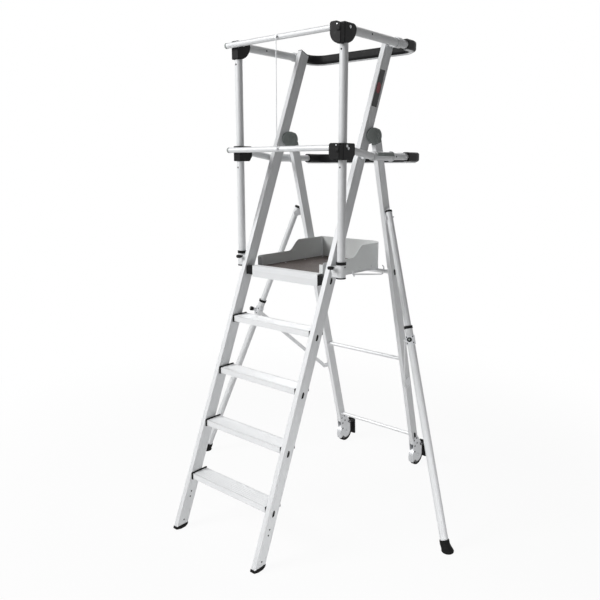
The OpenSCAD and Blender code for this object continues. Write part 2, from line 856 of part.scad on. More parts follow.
module toe_board_left() {
  color([0.42, 0.43, 0.43]) {
    yz(-tray_x, toe_thick) toe_profile();
    translate([-tray_x, deck_front, tray_bottom]) cube([toe_tab, toe_thick, deck_thick + toe_low - 8]);
  }
}

module toe_board_back() {
  high = deck_height + toe_high;
  color([0.46, 0.47, 0.47]) translate([-tray_x + toe_thick, deck_back - toe_thick, tray_bottom])
    cube([2 * tray_x - toe_thick - corner_radius, toe_thick, high - tray_bottom]);
}

module toe_board_right() {
  r = corner_radius;
  high = deck_height + toe_high;
  color([0.55, 0.57, 0.57]) {
    difference() {
      yz(tray_x - toe_thick, toe_thick) toe_profile();
      translate([0, deck_back - r, 0]) cube([2000, r + 1, 3000]);
    }
    translate([tray_x - toe_tab, deck_front, tray_bottom])
      cube([toe_tab, toe_thick, deck_thick + toe_low - 8]);
    translate([tray_x - r, deck_back - r, tray_bottom]) rotate_extrude(angle = 90)
      translate([r - toe_thick, 0]) square([toe_thick, high - tray_bottom]);
  }
}

module rear_stile() {
  w = section_wall;
  on_rear() difference() {
    translate([rear_inner_x, 0, rear_start]) cube([rear_thick, rear_depth, rear_top - rear_start]);
    translate([rear_inner_x + w, w, rear_start - 1])
      cube([rear_thick - 2 * w, rear_depth - 2 * w, rear_top - rear_start + 2]);
    for (d = [rear_depth * 0.2, rear_depth * 0.8]) {
      translate([rear_outer_x - groove_depth, d - groove_width / 2, 0])
        cube([groove_depth + 1, groove_width, 3000]);
    }
    for (a = [support_at, lower_tube_at]) {
      translate([rear_outer_x - w - 1, rear_depth / 2 - plug_width / 2 - 0.1, a - plug_length / 2 - 0.1])
        cube([w + 2, plug_width + 0.2, plug_length + 0.2]);
    }
  }
}

module rear_stile_left() {
  color([0.78, 0.79, 0.8]) side(-1) rear_stile();
}

module rear_stile_right() {
  color([0.78, 0.79, 0.8]) side(1) rear_stile();
}

module rear_cross_tubes() {
  color([0.82, 0.82, 0.83]) on_rear() for (a = [support_at, upper_tube_at, lower_tube_at]) {
    translate([0, rear_depth / 2, a]) difference() {
      along_x(-rear_inner_x, rear_inner_x, cross_tube);
      along_x(-rear_inner_x - 1, rear_inner_x + 1, cross_tube - 2 * section_wall);
    }
  }
}

module rear_hubs_and_plugs() {
  w = section_wall + push_fit;
  color([0.04, 0.04, 0.04]) both() on_rear() for (a = [support_at, lower_tube_at]) {
    translate([rear_outer_x - section_wall, rear_depth / 2 - plug_width / 2, a - plug_length / 2])
      cube([section_wall, plug_width, plug_length]);
  }
  color([0.27, 0.29, 0.28]) both() difference() {
    on_rear() union() {
      yz(rear_inner_x, rear_thick) union() {
        translate([pin_in, rear_hinge_along]) circle(r = hub_radius);
        polygon([[0, rear_top], [rear_depth, rear_top], [rear_depth, rear_top + 14],
          [pin_in + hub_radius * 0.7, rear_hinge_along - hub_radius * 0.2], [0, rear_hinge_along - 20]]);
      }
      translate([rear_inner_x + w, w, rear_top - 45])
        cube([rear_thick - 2 * w, rear_depth - 2 * w, 46]);
    }
    translate([0, hinge_y, hinge_height])
      along_x(rear_inner_x - 1, rear_outer_x + 1, hinge_pin + 2 * running);
  }
}

// Front quarter of the wheel that the guard covers
module guard_sector() {
  r = wheel_r + 2 + guard_thick;
  intersection() {
    translate([wheel_depth, wheel_along]) circle(r = r);
    translate([wheel_depth, wheel_along]) polygon([[0, 0], [-2 * r, -2 * r * tan(12.6)], [-2 * r, 2 * r], [0, 2 * r]]);
  }
}

module fork_shape() {
  top = lower_tube_at - plug_length / 2 - 2;
  polygon([[2, top], [rear_depth - 2, top], [pedal_depth + 4, pedal_along + 9],
    [pedal_depth + 9, pedal_along - 4], [wheel_depth + fork_radius, wheel_along],
    [wheel_depth - fork_radius, wheel_along]]);
  translate([wheel_depth, wheel_along]) circle(r = fork_radius);
  translate([pedal_depth, pedal_along]) circle(r = 10);
  guard_sector();
}

module wheel_brackets() {
  color([0.82, 0.82, 0.83]) both() {
    on_rear() {
      yz(rear_outer_x, fork_plate) fork_shape();
      yz(fork_in, fork_plate) fork_shape();
      yz(rear_inner_x - 1, rear_thick + 2) difference() {
        guard_sector();
        translate([wheel_depth, wheel_along]) circle(r = wheel_r + 2);
      }
      translate([0, wheel_depth, wheel_along]) along_x(fork_in - 3, fork_out + 3, axle_diameter);
    }
    translate([0, pedal_y, pedal_z]) along_x(fork_out - 1, fork_out + pedal_thick + gap, leg_pin);
    translate([0, pedal_y, pedal_z]) along_x(fork_in - pedal_thick - gap, fork_in + 1, leg_pin);
  }
}

module wheel() {
  rim = wheel_diameter - 2 * tyre_height;
  w = tyre_width - 2;
  color([0.6, 0.61, 0.62]) translate([stile_mid_x, wheel_y, wheel_r]) difference() {
    union() {
      along_x(-w / 2, w / 2, rim);
      along_x(-tyre_width / 2 - 0.5, tyre_width / 2 + 0.5, axle_diameter + 14);
    }
    along_x(w / 2 - 4, w, rim - 12);
    along_x(-w, -w / 2 + 4, rim - 12);
    along_x(-w, w, axle_diameter + 2 * running);
  }
  color([0.6, 0.61, 0.62]) translate([stile_mid_x, wheel_y, wheel_r]) difference() {
    along_x(-tyre_width / 2 - 0.5, tyre_width / 2 + 0.5, axle_diameter + 14);
    along_x(-w, w, axle_diameter + 2 * running);
  }
}

module tyre() {
  color([0.04, 0.04, 0.04]) translate([stile_mid_x, wheel_y, wheel_r]) difference() {
    along_x(-tyre_width / 2, tyre_width / 2, wheel_diameter);
    along_x(-tyre_width, tyre_width, wheel_diameter - 2 * tyre_height);
  }
}

module wheel_left() {
  side(-1) wheel();
}

module wheel_right() {
  side(1) wheel();
}

module tyre_left() {
  side(-1) tyre();
}

module tyre_right() {
  side(1) tyre();
}

module pedal_arm() {
  polygon([[pedal_y - 9, pedal_z + 4], [pedal_y, pedal_z + 9], [pedal_back - 14, pedal_z + 6],
    [pedal_back - 4, pedal_z - 6], [pedal_back, wheel_r - 40], [pedal_back - 12, wheel_r - 40],
    [pedal_back - 17, pedal_z - 14], [pedal_y, pedal_z - 9], [pedal_y - 9, pedal_z - 4]]);
}

module pedal_pad() {
  polygon([[pedal_back - 14, pedal_z + 6], [pedal_back - 4, pedal_z - 6], [pedal_back, wheel_r - 40],
    [pedal_back - 12, wheel_r - 40], [pedal_back - 17, pedal_z - 14], [pedal_back - 20, pedal_z]]);
}

module brake_pedal() {
  x0 = fork_in - gap - pedal_thick;
  x1 = fork_out + gap;
  color([0.05, 0.05, 0.05]) difference() {
    union() {
      yz(x0, pedal_thick) pedal_arm();
      yz(x1, pedal_thick) pedal_arm();
      yz(x0, x1 - x0 + pedal_thick) pedal_pad();
    }
    translate([0, pedal_y, pedal_z]) along_x(x0 - 1, x1 + pedal_thick + 1, leg_pin + 2 * running);
  }
}

module brake_pedal_left() {
  side(-1) brake_pedal();
}

module brake_pedal_right() {
  side(1) brake_pedal();
}

// Ear on the rear stile: a plate square to the swing axis and a base on the stile
module ear(x0, t, r) {
  difference() {
    union() {
      along_x(x0, x0 + t, 2 * r);
      translate([x0, 0, -r]) cube([t, 40, 2 * r]);
    }
    rotate([0, 0, -swing_turn]) translate([-200 - outrigger_out, -100, -100]) cube([200, 200, 200]);
  }
}

module outrigger_brackets() {
  near = arm_diameter / 2 + 2.5;
  lug = brace_in - gap;
  color([0.8, 0.8, 0.81]) both() {
    on_rear() {
      translate([rear_outer_x, 2, arm_at - 36]) cube([3, rear_depth - 8, 72]);
      translate([pivot_x, pivot_depth, arm_at]) rotate([0, 0, swing_turn]) {
        ear(-near - 4, 4, 16);
        along_x(-near - 5, arm_diameter / 2 + 5, leg_pin);
      }
      translate([rear_outer_x, 2, arm_at - lug_drop - 28]) cube([3, rear_depth - 14, 56]);
      translate([pivot_x, pivot_depth, arm_at - lug_drop]) rotate([0, 0, swing_turn]) {
        ear(-lug, 4, 13);
        along_x(-brace_in - brace_thick - 3, -lug + 1, leg_pin);
      }
    }
  }
}

module outrigger_arm() {
  color([0.8, 0.8, 0.81]) on_arm() difference() {
    translate([0, 0, -clamp_at - 100]) cylinder(d = arm_diameter, h = clamp_at + 130);
    translate([0, 0, -clamp_at - 101]) cylinder(d = arm_diameter - 2 * tube_wall, h = clamp_at + 101 - 24);
    along_x(-60, 60, leg_pin + 2 * running);
  }
}

module outrigger_arm_left() {
  side(-1) outrigger_arm();
}

module outrigger_arm_right() {
  side(1) outrigger_arm();
}

module outrigger_leg() {
  end_at = floor_at - 28;
  color([0.84, 0.84, 0.85]) on_arm() difference() {
    translate([0, 0, -end_at]) cylinder(d = leg_diameter, h = end_at - leg_top);
    translate([0, 0, -end_at - 1]) cylinder(d = leg_bore, h = end_at - leg_top + 2);
    translate([0, 0, -clamp_at]) rotate([0, 0, knob_turn]) along_x(0, 40, leg_pin + 2 * running);
  }
}

module outrigger_leg_left() {
  side(-1) outrigger_leg();
}

module outrigger_leg_right() {
  side(1) outrigger_leg();
}

module leg_clamp() {
  d = leg_diameter + 2 * push_fit;
  color([0.3, 0.3, 0.3]) on_arm() {
    difference() {
      union() {
        translate([0, 0, -clamp_at - 22]) cylinder(d = d + 8, h = 44);
        translate([0, 0, -clamp_at]) along_x(-brace_in + gap, 0, 24);
        translate([0, 0, -clamp_at]) rotate([0, 0, knob_turn]) along_x(0, leg_diameter / 2 + 20, 20);
      }
      translate([0, 0, -clamp_at - 60]) cylinder(d = d, h = 120);
      translate([0, 0, -clamp_at]) rotate([0, 0, knob_turn]) along_x(0, 80, leg_pin + 2 * running);
    }
    translate([0, 0, -leg_top - 16]) difference() {
      cylinder(d = d + 6, h = 18);
      translate([0, 0, -1]) cylinder(d = d, h = 17);
      cylinder(d = leg_bore, h = 40);
    }
  }
}

module leg_clamp_left() {
  side(-1) leg_clamp();
}

module leg_clamp_right() {
  side(1) leg_clamp();
}

module leg_foot() {
  color([0.04, 0.04, 0.04]) difference() {
    on_arm() difference() {
      translate([0, 0, -floor_at - 30]) cylinder(d = foot_diameter, h = 80);
      translate([0, 0, -floor_at + 28]) cylinder(d = leg_diameter + 2 * push_fit, h = 80);
    }
    floor_cut(0);
  }
}

module leg_foot_left() {
  side(-1) leg_foot();
}

module leg_foot_right() {
  side(1) leg_foot();
}

module brace() {
  color([0.8, 0.8, 0.81]) on_lug() rotate([brace_turn, 0, 0]) difference() {
    yz(-brace_in - brace_thick, brace_thick) union() {
      circle(d = brace_width);
      translate([0, brace_length]) circle(d = brace_width);
      translate([-brace_width / 2, 0]) square([brace_width, brace_length]);
    }
    along_x(-100, 100, leg_pin + 2 * running);
  }
}

module brace_left() {
  side(-1) brace();
}

module brace_right() {
  side(1) brace();
}

module socket_knob() {
  color([0.04, 0.04, 0.04]) translate([outer_x + 18, 0, socket_high - 11]) {
    along_y(post_y - 40, post_y - 8, leg_pin);
    translate([0, post_y - 40, 0]) rotate([90, 0, 0]) linear_extrude(14) union() {
      translate([-6, 0]) circle(r = 8);
      translate([6, 0]) circle(r = 8);
      square([12, 16], center = true);
    }
  }
}

module socket_knob_left() {
  side(-1) socket_knob();
}

module socket_knob_right() {
  side(1) socket_knob();
}

module leg_knob() {
  r = leg_diameter / 2;
  color([0.04, 0.04, 0.04]) on_arm() translate([0, 0, -clamp_at]) rotate([0, 0, knob_turn]) {
    along_x(arm_diameter / 2 + 1, r + 30, leg_pin);
    along_x(r + 22, r + 40, knob_diameter);
  }
}

module leg_knob_left() {
  side(-1) leg_knob();
}

module leg_knob_right() {
  side(1) leg_knob();
}

place() {
  ladder_stile_left();
  ladder_stile_right();
  tread_1();
  tread_2();
  tread_3();
  tread_4();
  tread_end_caps();
  stile_plugs();
  front_feet();
  hinge_brackets();
  hinge_pins();
  post_sockets();
  socket_collars();
  guard_posts();
  top_rails();
  mid_rails();
  mid_rail_sleeves();
  rail_clamps();
  top_fittings();
  mid_fittings();
  top_back_rail();
  mid_back_rail();
  gate_bar_top();
  gate_knuckle_top();
  gate_bar_mid();
  gate_knuckle_mid();
  gate_link();
  platform_nosing();
  platform_bearings();
  platform_frame();
  platform_deck();
  toe_board_left();
  toe_board_back();
  toe_board_right();
  rear_stile_left();
  rear_stile_right();
  rear_cross_tubes();
  rear_hubs_and_plugs();
  wheel_brackets();
  outrigger_brackets();
  wheel_left();
  wheel_right();
  tyre_left();
  tyre_right();
  brake_pedal_left();
  brake_pedal_right();
  outrigger_arm_left();
  outrigger_arm_right();
  outrigger_leg_left();
  outrigger_leg_right();
  leg_clamp_left();
  leg_clamp_right();
  leg_foot_left();
  leg_foot_right();
  brace_left();
  brace_right();
  socket_knob_left();
  socket_knob_right();
  leg_knob_left();
  leg_knob_right();
}
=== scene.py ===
import json
import math

import bmesh
import bpy
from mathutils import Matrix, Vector


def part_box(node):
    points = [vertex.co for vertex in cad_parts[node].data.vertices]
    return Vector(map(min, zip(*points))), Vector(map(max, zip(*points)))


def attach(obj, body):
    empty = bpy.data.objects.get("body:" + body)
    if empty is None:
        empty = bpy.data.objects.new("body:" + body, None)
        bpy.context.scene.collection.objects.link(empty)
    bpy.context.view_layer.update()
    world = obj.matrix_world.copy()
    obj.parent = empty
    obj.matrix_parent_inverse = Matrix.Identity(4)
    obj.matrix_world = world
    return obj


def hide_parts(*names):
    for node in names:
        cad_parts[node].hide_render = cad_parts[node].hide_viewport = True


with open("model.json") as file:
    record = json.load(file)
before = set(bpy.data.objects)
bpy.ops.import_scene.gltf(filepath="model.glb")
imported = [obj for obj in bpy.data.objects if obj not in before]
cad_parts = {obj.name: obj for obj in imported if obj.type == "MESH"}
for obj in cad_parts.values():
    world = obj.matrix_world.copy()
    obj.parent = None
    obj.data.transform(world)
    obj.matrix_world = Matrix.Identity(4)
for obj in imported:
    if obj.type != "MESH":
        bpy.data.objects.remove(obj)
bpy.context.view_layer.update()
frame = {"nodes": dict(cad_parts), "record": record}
cadNodes = frame["nodes"]
bodyOf = {node: body for body, nodes in frame["record"]["behaviour"]["bodies"].items() for node in nodes}
print("frame loaded:", len(cadNodes), "nodes")

ladderLean = math.radians(22)  # the ladder leans back by this much
rearLean = math.radians(15.4)  # the rear frame leans forward by this much
rearBaseY = 1387.016  # where the front of the rear stiles meets the floor
midDepth = 752.505  # millimetres from the ladder's foot line to the middle of the part
postX, postY = 321, 553.01  # the guard posts' axes
railZ, midFrontZ, midGateZ, midRailZ = 2333, 1829, 1838.5, 1806  # heights of the rails and the gate
stileX, stileInnerX, stileDepth = 279, 255, 66.87  # the ladder's stiles: outer face, inner face, depth
bothSides = ((-1, "left"), (1, "right"))
bothGates = (("top", railZ), ("mid", midGateZ))
treads = ["tread_1", "tread_2", "tread_3", "tread_4"]


def at(x, y, z):
    # millimetres from the ladder's foot line to metres in the frame
    return Vector((x / 1000, (y - midDepth) / 1000, z / 1000))


def pair(name):
    return [name + "_left", name + "_right"]


def mirrored(vector, side):
    return Vector((vector[0] * side, vector[1], vector[2]))


def between(side, low, high):
    # two places across the part on its left or right side, the lower first
    return sorted((side * low, side * high))


# Shader maths

class Val:
    def __init__(self, finish, socket):
        self.finish = finish
        self.socket = socket

    def math(self, operation, first, second):
        return self.finish.node("ShaderNodeMath", {0: first, 1: second}, operation=operation)

    def __add__(self, other):
        return self.math("ADD", self, other)

    def __radd__(self, other):
        return self.math("ADD", other, self)

    def __sub__(self, other):
        return self.math("SUBTRACT", self, other)

    def __rsub__(self, other):
        return self.math("SUBTRACT", other, self)

    def __mul__(self, other):
        return self.math("MULTIPLY", self, other)

    def __rmul__(self, other):
        return self.math("MULTIPLY", other, self)


class Finish:
    def __init__(self, name):
        self.material = bpy.data.materials.new(name)
        self.material.use_nodes = True
        self.tree = self.material.node_tree
        self.shader = self.tree.nodes["Principled BSDF"]

    def put(self, socket, value):
        if isinstance(value, Val):
            self.tree.links.new(value.socket, socket)
        else:
            socket.default_value = value

    def node(self, kind, values=None, out=0, **settings):
        made = self.tree.nodes.new(kind)
        for key, value in settings.items():
            setattr(made, key, value)
        for key, value in (values or {}).items():
            self.put(made.inputs[key], value)
        return Val(self, made.outputs[out])

    def spot(self, size=(1, 1, 1), turn=(0, 0, 0)):
        # object coordinates in a turned frame, counted in steps of size metres
        here = self.node("ShaderNodeTexCoord", out="Object")
        return self.node("ShaderNodeMapping", {"Vector": here, "Rotation": turn, "Scale": size},
                         vector_type="TEXTURE")

    def noise(self, size, turn=(0, 0, 0), detail=3):
        return self.node("ShaderNodeTexNoise", {"Vector": self.spot(size, turn), "Scale": 1.0, "Detail": detail},
                         "Fac")

    def cells(self, size, turn=(0, 0, 0)):
        return self.node("ShaderNodeTexVoronoi",
                         {"Vector": self.spot(size, turn), "Scale": 1.0, "Randomness": 0.12}, "Distance",
                         feature="DISTANCE_TO_EDGE")

    def ramp(self, value, low, high, start=0.0):
        # start below low, 1 above high
        return self.node("ShaderNodeMapRange", {"Value": value, "From Min": low, "From Max": high, "To Min": start},
                         interpolation_type="SMOOTHSTEP")

    def mix(self, factor, first, second):
        return self.node("ShaderNodeMix", {0: factor, 6: first, 7: second}, 2, data_type="RGBA")

    def bump(self, height, depth):
        return self.node("ShaderNodeBump", {"Height": height, "Distance": depth, "Strength": 1.0})

    def done(self, **sockets):
        for key, value in sockets.items():
            self.put(self.shader.inputs[key.replace("_", " ")], value)
        return self.material


def rgb(red, green, blue):
    return (red, green, blue, 1.0)


def aluminium(name, turn, light, dark, rough, metal=0.2):
    # die lines along the section, with soft smears from handling
    finish = Finish(name)
    lines = finish.noise((0.0012, 0.0012, 0.4), turn, 2)
    smear = finish.noise((0.03, 0.03, 0.16), turn, 4)
    specks = finish.ramp(finish.noise((0.004, 0.004, 0.004), turn, 5), 0.62, 0.74)
    tone = finish.mix(lines * 0.55 + smear * 0.45, dark, light)
    tone = finish.mix(specks * 0.12, tone, rgb(0.45, 0.46, 0.47))
    return finish.done(
        Base_Color=tone,
        Metallic=metal,
        Roughness=rough + 0.16 * smear + 0.1 * lines,
        Normal=finish.bump(lines, 0.0001),
    )


def plastic(name, light, dark, rough, gloss=0.25, grain=0.0012, shine=0.08, edge=None):
    # moulded grain with scuffs, and, where one is given, painted shade: a dark colour over the front end of the part
    finish = Finish(name)
    fine = finish.noise((grain, grain, grain), detail=2)
    scuff = finish.ramp(finish.noise((0.02, 0.035, 0.02), detail=5), 0.52, 0.7)
    tone = finish.mix(fine * 0.5 + scuff * 0.5, dark, light)
    # painted shade: the front end, up to a depth, is coloured dark to stand in for the shade seen there
    if edge:
        frontShadeColour, frontShadeEndY = edge
        depth = finish.node("ShaderNodeSeparateXYZ", {0: finish.spot()}, 1)
        tone = finish.mix(1 - finish.ramp(depth, frontShadeEndY, frontShadeEndY + 0.002), tone, frontShadeColour)
    return finish.done(
        Base_Color=tone,
        Roughness=rough + 0.18 * fine - shine * scuff,
        Normal=finish.bump(fine, 0.00015),
        Specular_IOR_Level=gloss,
    )


def boardFilm(name):
    # film faced ply with a pressed mesh, worn paler where feet land
    finish = Finish(name)
    mesh = finish.ramp(finish.cells((0.006, 0.006, 0.006), (0, 0, 0.78)), 0.03, 0.12)
    worn = finish.ramp(finish.noise((0.09, 0.14, 0.09), detail=5), 0.42, 0.7)
    grit = finish.noise((0.0015, 0.0015, 0.0015), detail=3)
    tone = finish.mix(worn, rgb(0.05, 0.036, 0.031), rgb(0.105, 0.082, 0.072))
    tone = finish.mix(mesh * 0.45, tone, rgb(0.075, 0.056, 0.048))
    return finish.done(
        Base_Color=finish.mix(grit * 0.25, tone, rgb(0.13, 0.105, 0.095)),
        Roughness=0.42 + 0.2 * grit,
        Normal=finish.bump(mesh * 0.8 + grit * 0.2, 0.0004),
        Specular_IOR_Level=0.35,
    )


alongLadder = (-ladderLean, 0, 0)
alongRear = (rearLean, 0, 0)
upright, acrossPart = (0, 0, 0), (0, math.pi / 2, 0)
legTip, legSpread = math.radians(9.22), math.radians(19.26)  # the outrigger legs' turns from upright
paleMetal = rgb(0.80, 0.81, 0.82)
greyMetal = rgb(0.66, 0.67, 0.68)
paleBoard, greyBoard = rgb(0.82, 0.84, 0.835), rgb(0.77, 0.79, 0.785)
finishTable = {
    "ladderMetal": ("bright_aluminium", aluminium, alongLadder, paleMetal, greyMetal, 0.36, 0.05),
    "rearMetal": ("bright_aluminium", aluminium, alongRear, rgb(0.86, 0.87, 0.88), rgb(0.76, 0.77, 0.78), 0.36, 0.08),
    "uprightTube": ("tube_aluminium", aluminium, upright, paleMetal, greyMetal, 0.34, 0.05),
    "crossTube": ("tube_aluminium", aluminium, acrossPart, paleMetal, greyMetal, 0.3, 0.25),
    "treadMetal": ("bright_aluminium", aluminium, acrossPart, rgb(0.84, 0.845, 0.85), rgb(0.72, 0.73, 0.74), 0.26, 0.4),
    "depthTube": ("tube_aluminium", aluminium, (math.pi / 2, 0, 0), paleMetal, greyMetal, 0.32, 0.08),
    "legTubeRight": ("tube_aluminium", aluminium, (-legTip, -legSpread, 0), paleMetal, greyMetal, 0.34, 0.05),
    "legTubeLeft": ("tube_aluminium", aluminium, (-legTip, legSpread, 0), paleMetal, greyMetal, 0.34, 0.05),
    "blackPlastic": ("black_plastic", plastic, rgb(0.011, 0.011, 0.0115), rgb(0.004, 0.004, 0.0045), 0.42, 0.14),
    "hingePlastic": ("hinge_plastic", plastic, rgb(0.36, 0.39, 0.38), rgb(0.26, 0.285, 0.275), 0.45),
    "boardPlastic": ("board_plastic", plastic, paleBoard, greyBoard, 0.4),
    # the left toe board, with painted shade coloured dark over its front end
    "boardPaintedFrontShade": ("board_plastic", plastic, paleBoard, greyBoard, 0.4, 0.25, 0.0012, 0,
                   (rgb(0.09, 0.092, 0.092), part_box("toe_board_left")[0][1] + 0.004)),
    "wheelPlastic": ("black_plastic", plastic, rgb(0.2, 0.2, 0.2), rgb(0.13, 0.13, 0.13), 0.4),
    "shoeRubber": ("foot_rubber", plastic, rgb(0.014, 0.014, 0.014), rgb(0.006, 0.006, 0.006), 0.6, 0.1, 0.0008),
    "tyreRubber": ("tyre_rubber", plastic, rgb(0.015, 0.015, 0.0155), rgb(0.006, 0.006, 0.006), 0.62, 0.1, 0.0008),
    "deckBoard": ("deck_board", boardFilm),
    "zincSteel": ("steel", aluminium, upright, rgb(0.72, 0.73, 0.74), rgb(0.52, 0.53, 0.55), 0.3, 0.5),
    "holeShade": ("black_plastic", plastic, rgb(0.03, 0.03, 0.03), rgb(0.012, 0.012, 0.012), 0.7, 0.1),
    "stripFilm": ("black_plastic", plastic, rgb(0.03, 0.03, 0.032), rgb(0.016, 0.016, 0.017), 0.38, 0.3),
    "patchFilm": ("black_plastic", plastic, rgb(0.3, 0.03, 0.045), rgb(0.2, 0.02, 0.03), 0.38, 0.3),
}
finishes = {name: make(name, *values) for name, (slot, make, *values) in finishTable.items()}
print("finishes ready:", len(finishes))

nodeFinish = {
    "ladderMetal": pair("ladder_stile") + ["rail_clamps", "post_sockets"],
    "rearMetal": pair("rear_stile"),
    "uprightTube": ["guard_posts"] + pair("brace"),
    "legTubeRight": ["outrigger_arm_right", "outrigger_leg_right"],
    "legTubeLeft": ["outrigger_arm_left", "outrigger_leg_left"],
    "crossTube": ["gate_bar_top", "gate_bar_mid", "platform_frame", "platform_nosing"],
    "treadMetal": treads + ["rear_cross_tubes"],
    "depthTube": ["top_rails", "mid_rails", "mid_rail_sleeves"],
    "blackPlastic": ["tread_end_caps", "stile_plugs", "socket_collars", "top_fittings", "mid_fittings",
                     "top_back_rail", "mid_back_rail", "gate_knuckle_top", "gate_knuckle_mid", "platform_bearings",
                     *pair("brake_pedal"), *pair("socket_knob"), *pair("leg_knob")],
    "hingePlastic": ["hinge_brackets", "rear_hubs_and_plugs"],
    "boardPlastic": ["toe_board_back", "toe_board_right"],
    "boardPaintedFrontShade": ["toe_board_left"],
    "wheelPlastic": pair("wheel"),
    "deckBoard": ["platform_deck"],
    "shoeRubber": ["front_feet"] + pair("leg_foot"),
    "tyreRubber": pair("tyre"),
    "zincSteel": ["hinge_pins", "wheel_brackets", "outrigger_brackets", "gate_link"] + pair("leg_clamp"),
}
finishOf = {name: key for key, names in nodeFinish.items() for name in names}
for name, key in finishOf.items():
    cadNodes[name].data.materials.clear()
    cadNodes[name].data.materials.append(finishes[key])


# Mesh helpers

def placed(name, data):
    thing = bpy.data.objects.new(name, data)
    bpy.context.scene.collection.objects.link(thing)
    return thing


def keep(name, mesh, body, finish, nodes=()):
    # a finished piece of one mesh or a list of them: its place is in its mesh and it rides on a body
    mesh = joined(name, mesh) if isinstance(mesh, list) else mesh
    piece = placed(name, mesh)
    mesh.materials.clear()
    mesh.materials.append(finishes[finish])
    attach(piece, body)
    if nodes:
        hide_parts(*nodes)
    return piece


def smoothed(mesh, angle=32):
    for face in mesh.polygons:
        face.use_smooth = True
    mesh.set_sharp_from_angle(angle=math.radians(angle))


def rounded(piece, width, segments=2, angle=35, clamp=True):
    edge = piece.modifiers.new("softEdge", "BEVEL")
    edge.width = width
    edge.segments = segments
    edge.limit_method = "ANGLE"
    edge.angle_limit = math.radians(angle)
    edge.use_clamp_overlap = clamp
    edge.harden_normals = True
    return piece


def softened(node, width, segments=2):
    # the solid's own shape with its edges broken
    work = bmesh.new()
    work.from_mesh(cadNodes[node].data)
    bmesh.ops.remove_doubles(work, verts=work.verts, dist=0.000004)
    bmesh.ops.dissolve_limit(work, angle_limit=0.004, verts=work.verts, edges=work.edges)
    mesh = bpy.data.meshes.new(node + "_soft")
    work.to_mesh(mesh)
    work.free()
    if "custom_normal" in mesh.attributes:
        mesh.attributes.remove(mesh.attributes["custom_normal"])
    smoothed(mesh)
    piece = keep(node + "_soft", mesh, bodyOf[node], finishOf[node], [node])
    return rounded(piece, width, segments)


def closedMesh(name, points, faces):
    mesh = bpy.data.meshes.new(name)
    mesh.from_pydata([tuple(point) for point in points], [], faces)
    work = bmesh.new()
    work.from_mesh(mesh)
    bmesh.ops.remove_doubles(work, verts=work.verts, dist=0.000001)
    bmesh.ops.recalc_face_normals(work, faces=work.faces)
    work.to_mesh(mesh)
    work.free()
    smoothed(mesh)
    return mesh


def joined(name, meshes):
    work = bmesh.new()
    for mesh in meshes:
        work.from_mesh(mesh)
    whole = bpy.data.meshes.new(name)
    work.to_mesh(whole)
    work.free()
    smoothed(whole)
    return whole


def arc(centre, radius, start, stop, count):
    steps = [math.radians(start + (stop - start) * i / count) for i in range(count + 1)]
    return [(centre[0] + radius * math.cos(a), centre[1] + radius * math.sin(a)) for a in steps]


def oval(half, straight, count=10):
    # a slot shape about its own middle, upright
    return arc((0, straight), half, 0, 180, count) + arc((0, -straight), half, 180, 360, count)


def spin(count):
    return [2 * math.pi * i / count for i in range(count)]


def axisFrame(direction):
    axis = Vector(direction).normalized()
    side = axis.orthogonal().normalized()
    return axis, side, axis.cross(side)


def prism(name, first, second):
    # two outlines with as many points, joined by flat sides
    count = len(first)
    faces = [tuple(range(count)), tuple(range(count, 2 * count))]
    faces += [(i, (i + 1) % count, count + (i + 1) % count, count + i) for i in range(count)]
    return closedMesh(name, first + second, faces)


def stacked(name, rings):
    # rings of points joined in order and closed at both ends
    count, last = len(rings[0]), len(rings) - 1
    faces = []
    for row in range(last):
        low, high = row * count, (row + 1) * count
        faces += [(low + i, low + (i + 1) % count, high + (i + 1) % count, high + i) for i in range(count)]
    faces += [tuple(range(count)), tuple(range(last * count, (last + 1) * count))]
    return closedMesh(name, [point for ring in rings for point in ring], faces)


def slab(name, outline, low, high, plane="yz"):
    # an outline in millimetres pushed through from low to high, across x for yz and across y for xz
    def point(spot, far):
        return at(far, *spot) if plane == "yz" else at(spot[0], far, spot[1])
    return prism(name, [point(spot, low) for spot in outline], [point(spot, high) for spot in outline])


def twoSlabs(outline, low, high):
    # the same slab on the left and on the right
    return [slab("half", outline, *between(side, low, high)) for side in (-1, 1)]


def turned(name, profile, start, direction, segments=32):
    # a profile of (radius, height) pairs spun about an axis, in millimetres
    axis, side, other = axisFrame(direction)
    return stacked(name, [[start + (axis * height + (side * math.cos(a) + other * math.sin(a)) * radius) / 1000
                           for a in spin(segments)] for radius, height in profile])


def ringSolid(name, profile, start, direction, segments=40):
    # a closed profile of (radius, height) pairs spun about an axis, in millimetres
    axis, side, other = axisFrame(direction)
    count = len(profile)
    points, faces = [], []
    for i, a in enumerate(spin(segments)):
        out = side * math.cos(a) + other * math.sin(a)
        points += [start + (axis * height + out * radius) / 1000 for radius, height in profile]
        j = (i + 1) % segments
        faces += [(i * count + k, i * count + (k + 1) % count, j * count + (k + 1) % count, j * count + k)
                  for k in range(count)]
    return closedMesh(name, points, faces)


def groovedTube(name, start, end, radius, facing, grooves, width=2.4, depth=0.9, segments=40):
    # a round section with narrow grooves along it, at angles from the facing side
    axis = (end - start).normalized()
    side = (Vector(facing) - axis * axis.dot(Vector(facing))).normalized()
    other = axis.cross(side)
    half = width / radius / 2
    cuts = [math.radians(g) % (2 * math.pi) for g in grooves]

    def far(a, b):
        return abs((a - b + math.pi) % (2 * math.pi) - math.pi)
    ring = [(a, radius) for a in spin(segments) if all(far(a, cut) > half * 1.6 for cut in cuts)]
    for cut in cuts:
        ring += [(cut - half, radius), (cut - half * 0.7, radius - depth), (cut + half * 0.7, radius - depth),
                 (cut + half, radius)]
    ring = sorted((a % (2 * math.pi), r) for a, r in ring)
    ends = [[base + (side * math.cos(a) + other * math.sin(a)) * r / 1000 for a, r in ring] for base in (start, end)]
    return prism(name, *ends)


# Geometry node helpers

